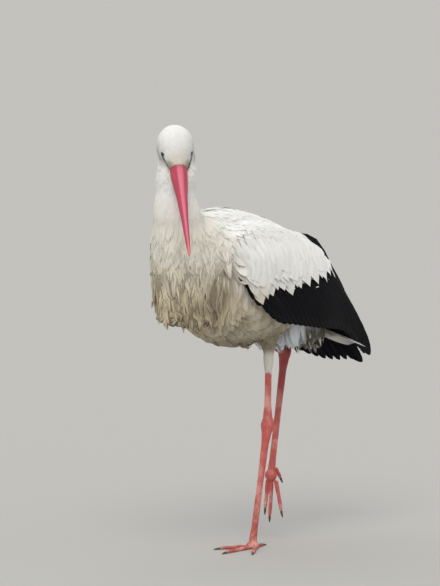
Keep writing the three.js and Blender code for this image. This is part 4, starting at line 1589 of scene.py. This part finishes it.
def covert_rows(wing):
    """Large white coverts in rows, each row over the one below it like tiles."""
    parts = []
    tips = COVERT_TIPS[wing.side]
    share = np.array([s for s, _ in POINTED])
    for row in range(ROW_COUNT):
        for k, (y, z) in enumerate(tips):
            if row:
                after = tips[min(k + 1, len(tips) - 1)]
                blend = (row % 2) / 2
                y += (after[0] - y) * blend - 8 * row
                z = 0.5 * (z + TIPS_LEVEL) + (after[1] - z) * blend * 0.5 + ROW_RISE * row
                z += rng.uniform(-4, 4)
            room = (wing.white_top(y) - 10 - z) / -COVERT_SLANT[1]
            room = min(room, (y - COVERTS_FRONT) / COVERT_SLANT[0])
            length = min(COVERT_LENGTH * rng.uniform(0.92, 1.06), room)
            if length < COVERT_LENGTH / 3:
                continue
            back_y = y - COVERT_SLANT[0] * length * (1 - share)
            back_z = z - COVERT_SLANT[1] * length * (1 - share)
            back_z = np.minimum(back_z, wing.white_top(back_y) - 8 - 22 * rise(back_y, 98, 135))
            over = rise(back_z - wing.white_edge(back_y), 2, 30)
            height = 2.2 + over * (UNDER_COVERTS - 4.2) + 0.5 * row - 7.5 * (1 - share) ** 2
            shape = POINTED if row == 0 else BLUNT
            width = COVERT_WIDTH - COVERT_NARROWING * rise(y, 112, 145)
            parts.append(on_wing_side(wing, back_y, back_z, shape, width, 0.07, height))
    return parts


RIDGE_LINE = (  # Y and Z of the long black feathers along each wing's inner edge
    [60, 95, 121, 139, 152, 175, 194, 215], [537, 533, 525, 514, 499, 467, 446, 422],
)
RIDGE_ASIDE = 27  # from the bird's middle
RIDGE_COUNT = 3
RIDGE_START = 64  # Y
RIDGE_LENGTH = 150
RIDGE_WIDTH = 17


def ridge_feathers(sign):
    """Long black feathers along a wing's inner edge, each shorter, lower and further in."""
    parts = []
    share = np.array([s for s, _ in QUILL])
    for i in range(RIDGE_COUNT):
        y = RIDGE_START - 8 * i + (RIDGE_LENGTH - 20 * i) * share
        x = MIDDLE + sign * (RIDGE_ASIDE - 2.5 * i)
        points = np.stack([np.full(len(y), x), y, np.interp(y, *RIDGE_LINE) - 3 * i], 1) * MM
        heading = unit(np.gradient(points, axis=0))
        normal = flattened(np.tile([0.90 * sign, 0.0, 0.43], (len(points), 1)), heading)
        width = np.array([full for _, full in QUILL]) * RIDGE_WIDTH / 2
        parts.append((points, unit(np.cross(heading, normal)), width))
    return parts


def dress_wings(plumage, unwrap):
    """The long black feathers of each wing and the white ones that lie over them."""
    for side, wing in WINGS.items():
        feathers = flight_fan(wing) + ridge_feathers(wing.sign)
        fan = vanes(
            f"flight_feathers_{side}", gathered(feathers, QUILL, unwrap),
            plumage.black, sides=8, thickness=0.06, cup=0.05,
        )
        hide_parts(f"wing_{side}_flight")
        rows = vanes(
            f"white_coverts_{side}", gathered(covert_rows(wing), POINTED, unwrap),
            plumage.white, sides=8, thickness=0.05, cup=0.07,
        )


TAIL_ROOT = np.array([MIDDLE, 96, 392]) * MM
TAIL_END = np.array([MIDDLE, 283, 325]) * MM
TAIL_FEATHERS = 12
TAIL_WIDTH = 19
TAIL_ROOT_SPREAD = 13
TAIL_SPREAD = {"left": 24, "right": 13}  # the right side stays hidden by its wing


def tail_fan(plumage, unwrap):
    """White tail feathers side by side, the outer ones shorter and lower."""
    parts = []
    share = np.array([s for s, _ in QUILL])[:, None]
    for i in range(TAIL_FEATHERS):
        aside = 2 * i / (TAIL_FEATHERS - 1) - 1
        start = TAIL_ROOT + np.array([aside * TAIL_ROOT_SPREAD, 0, -2.5 * abs(aside)]) * MM
        spread = TAIL_SPREAD["left" if aside > 0 else "right"]
        end = TAIL_END + np.array([aside * spread, -7 * aside * aside, -5 * abs(aside)]) * MM
        points = start + (end - start) * share
        points[:, 0] += max(aside, 0) * 5 * MM * np.sin(share[:, 0] * math.pi)
        heading = unit(np.gradient(points, axis=0))
        normal = np.tile([0.0, 0.34, 0.94], (len(points), 1))
        normal = turned(flattened(normal, heading), heading, np.full(len(points), 0.16 * aside))
        width = np.array([full for _, full in QUILL]) * TAIL_WIDTH / 2
        parts.append((points, unit(np.cross(heading, normal)), width))
    fan = vanes(
        "tail_feathers", gathered(parts, QUILL, unwrap),
        plumage.white, sides=8, thickness=0.07, cup=0.06,
    )
    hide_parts("tail")


# ------------------------------------------------------------------ bill, eyes, lids and claws

BILL_LENGTH = 172
BILL_UNDERBITE = 1.5  # the lower half is shorter by this
BILL_START = 39.6  # ahead of the head's centre
BILL_HALF_WIDTH = 15
BILL_TAPER = (
    [0, 0.12, 0.22, 0.34, 0.6, 0.82, 0.93, 0.98, 1],
    [1, 0.94, 0.80, 0.63, 0.40, 0.27, 0.20, 0.13, 0.03],
)
BILL_TOP_DEPTH = 15
BILL_BOTTOM_DEPTH = 12
BILL_RINGS = 60
BILL_ARC = 24
NOSTRIL_AT = 0.105  # share of the bill's length
NOSTRIL_HALF = 0.034
NOSTRIL_DEPTH = 0.13
GROOVE_DEPTH = 0.035


def bump(value, middle, half):
    """1 at the middle, falling softly to nothing on both sides."""
    return math.exp(-((value - middle) / half) ** 2)


def bill_half(name, depth, upward, length, node):
    """One half of the bill: a ridged arch with a flat side where the halves meet.

    The upper half has a groove along each side with the nostril as a slit in it.
    """
    verts, maps = [], []
    for k in range(BILL_RINGS + 1):
        share = (k / BILL_RINGS) ** 1.25
        full = np.interp(share, *BILL_TAPER)
        half, deep = BILL_HALF_WIDTH * full, depth * full
        for j in range(BILL_ARC + 1):
            angle = math.pi * j / BILL_ARC
            aside = half * math.copysign(abs(math.cos(angle)) ** 0.9, math.cos(angle))
            aside *= 1 - 0.10 * math.sin(angle) ** 2 * (1 - share)
            high = deep * math.sin(angle) ** 1.06
            off_ridge = abs(angle - math.pi / 2)
            slit = NOSTRIL_DEPTH * bump(share, NOSTRIL_AT, NOSTRIL_HALF)
            slit *= bump(off_ridge, 0.74, 0.10)
            groove = GROOVE_DEPTH * bump(off_ridge, 0.72, 0.16) * (1 - min(share / 0.5, 1))
            inward = 1 - (slit + groove) * (upward > 0)
            above = upward * (0.12 + high * inward)
            verts.append((aside * inward, BILL_START + share * length, above))
            maps.append((j / BILL_ARC, share))
    row = BILL_ARC + 1
    faces = []
    for k in range(BILL_RINGS):
        for j in range(row):
            a, b = k * row + j, k * row + (j + 1) % row
            faces.append((a, b, b + row, a + row))
    faces.append(tuple(range(row))[::-1])
    faces.append(tuple(BILL_RINGS * row + j for j in range(row)))
    verts = np.array(verts)
    mesh = bpy.data.meshes.new(name)
    mesh.from_pydata(from_head(verts[:, 0], verts[:, 1], verts[:, 2]).tolist(), [], faces)
    layer = mesh.uv_layers.new(name="vane")
    for loop in mesh.loops:
        layer.data[loop.index].uv = maps[loop.vertex_index]
    outward_faces(mesh)
    mesh.polygons.foreach_set("use_smooth", [len(p.vertices) == 4 for p in mesh.polygons])
    piece = link(name, mesh)
    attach(piece, BODY)
    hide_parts(node)
    return piece


EYE_RADIUS = 6.3
EYE_SUNK = 2.2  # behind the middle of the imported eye
GAZE = (0.965, 0.20, 0.10)  # aside, forward and up
LID_OPENING = 3.9
LID_POINTS = 44
LID_PROFILE = [  # outwards from the opening, and up from the eyeball there
    (0, 0.25), (0.2, 0.5), (0.6, 0.4), (1.5, -0.9), (3.0, -3.4), (4.2, -6.0),
]


def eye_frame(side):
    """The middle of an eye and its gaze, forward and upward directions."""
    sign = 1 if side == "left" else -1
    aside, forward, up = GAZE
    gaze = unit(HEAD_LEFT * aside * sign + HEAD_FORWARD * forward + HEAD_UP * up)
    ahead = flattened(HEAD_FORWARD[None], gaze[None])[0]
    centre = centre_of("eye_" + side) - gaze * EYE_SUNK * MM
    return centre, gaze, ahead, np.cross(gaze, ahead) * sign


def outward_faces(mesh):
    shaped = bmesh.new()
    shaped.from_mesh(mesh)
    bmesh.ops.recalc_face_normals(shaped, faces=shaped.faces)
    shaped.to_mesh(mesh)
    shaped.free()


def make_eye(side, finish):
    """An eyeball with a slightly bulging front, looking along its gaze."""
    centre, gaze, _, _ = eye_frame(side)
    shaped = bmesh.new()
    bmesh.ops.create_uvsphere(shaped, u_segments=40, v_segments=28, radius=1)
    turn = Vector(gaze).to_track_quat("Z", "Y").to_matrix()
    mesh = bpy.data.meshes.new("eyeball_" + side)
    shaped.to_mesh(mesh)
    shaped.free()
    points, _ = mesh_arrays(mesh)
    off_axis = np.hypot(points[:, 0], points[:, 1])
    front = points[:, 2] > 0
    bulge = 1 + 0.05 * np.where(front, 1 - rise(off_axis, 0.3, 0.8), 0)
    points = (points * bulge[:, None]) @ np.array(turn).T * EYE_RADIUS * MM + centre
    put_points(mesh, points)
    set_attribute(mesh, "polar", np.where(front, off_axis, 1.0))
    outward_faces(mesh)
    smooth_shaded(mesh)
    mesh.materials.append(finish)
    piece = link("eyeball_" + side, mesh)
    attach(piece, BODY)
    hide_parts("eye_" + side)


def eyelids(side):
    """A rim of bare skin that hugs the eye and slopes down under the feathers round it."""
    centre, gaze, ahead, over = eye_frame(side)
    verts, faces = [], []
    for i in range(LID_POINTS):
        angle = 2 * math.pi * i / LID_POINTS
        corner = 1 + 0.14 * abs(math.cos(angle)) ** 3
        brow = 0.84 if math.sin(angle) > 0 else 0.92
        way = ahead * math.cos(angle) * corner + over * math.sin(angle) * (
            brow + (1 - brow) * abs(math.cos(angle)) ** 2
        )
        opening = LID_OPENING * np.linalg.norm(way)
        seat = math.sqrt(EYE_RADIUS ** 2 - opening ** 2)
        for out, high in LID_PROFILE:
            verts.append(centre + (unit(way) * (opening + out) + gaze * (seat + high)) * MM)
        verts.append(centre + (unit(way) * (opening - 0.6) + gaze * (seat - 1.2)) * MM)
        row = len(LID_PROFILE) + 1
        for j in range(row):
            a, b = i * row + j, i * row + (j + 1) % row
            c, d = [((i + 1) % LID_POINTS) * row + k for k in ((j + 1) % row, j)]
            faces.append((a, b, c, d))
    mesh = bpy.data.meshes.new("lids")
    mesh.from_pydata([tuple(v) for v in verts], [], faces)
    outward_faces(mesh)
    set_attribute(mesh, "leg", np.zeros(len(verts)))
    set_attribute(mesh, "lore", np.ones(len(verts)))
    return mesh


def make_claws():
    """The claws as packed, only smoother."""
    piece = link("claws_rough", merged_copy(CLAW_NODES, 0.2 * MM))
    soft = piece.modifiers.new("soft", "SUBSURF")
    soft.levels = soft.render_levels = 2
    mesh = evaluated_mesh(piece)
    bpy.data.objects.remove(piece)
    smooth_shaded(mesh)
    mesh.materials.clear()
    mesh.materials.append(material("claw", paint_claw))
    claws = link("claws", mesh)
    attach(claws, BODY)
    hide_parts(*CLAW_NODES)


def make_floor():
    """A plain floor for the view, not part of the bird."""
    mesh = bpy.data.meshes.new("floor")
    low, high = -FLOOR_REACH, FLOOR_REACH
    corners = [(low, low, 0), (high, low, 0), (high, high, 0), (low, high, 0)]
    mesh.from_pydata(corners, [], [range(4)])

    def paint_floor(plan):
        return {"Base Color": FLOOR_COLOUR, "Roughness": 0.9}

    mesh.materials.append(material("floor", paint_floor))
    link("floor", mesh)


# ------------------------------------------------------------------ the stork

set_camera()
set_light()
make_floor()
skin = make_skin()
plumage = Plumage(skin)
unwrap = unwrap_of(skin.data)
grow_plumage(plumage)
dress_wings(plumage, unwrap)
tail_fan(plumage, unwrap)
horn = material("bill", paint_bill)
for piece in (
    bill_half("bill_top", BILL_TOP_DEPTH, 1, BILL_LENGTH, "bill_upper"),
    bill_half("bill_bottom", BILL_BOTTOM_DEPTH, -1, BILL_LENGTH - BILL_UNDERBITE, "bill_lower"),
):
    piece.data.materials.append(horn)
eye_finish = material("eye", paint_eye)
make_eye("left", eye_finish)
make_eye("right", eye_finish)
make_claws()
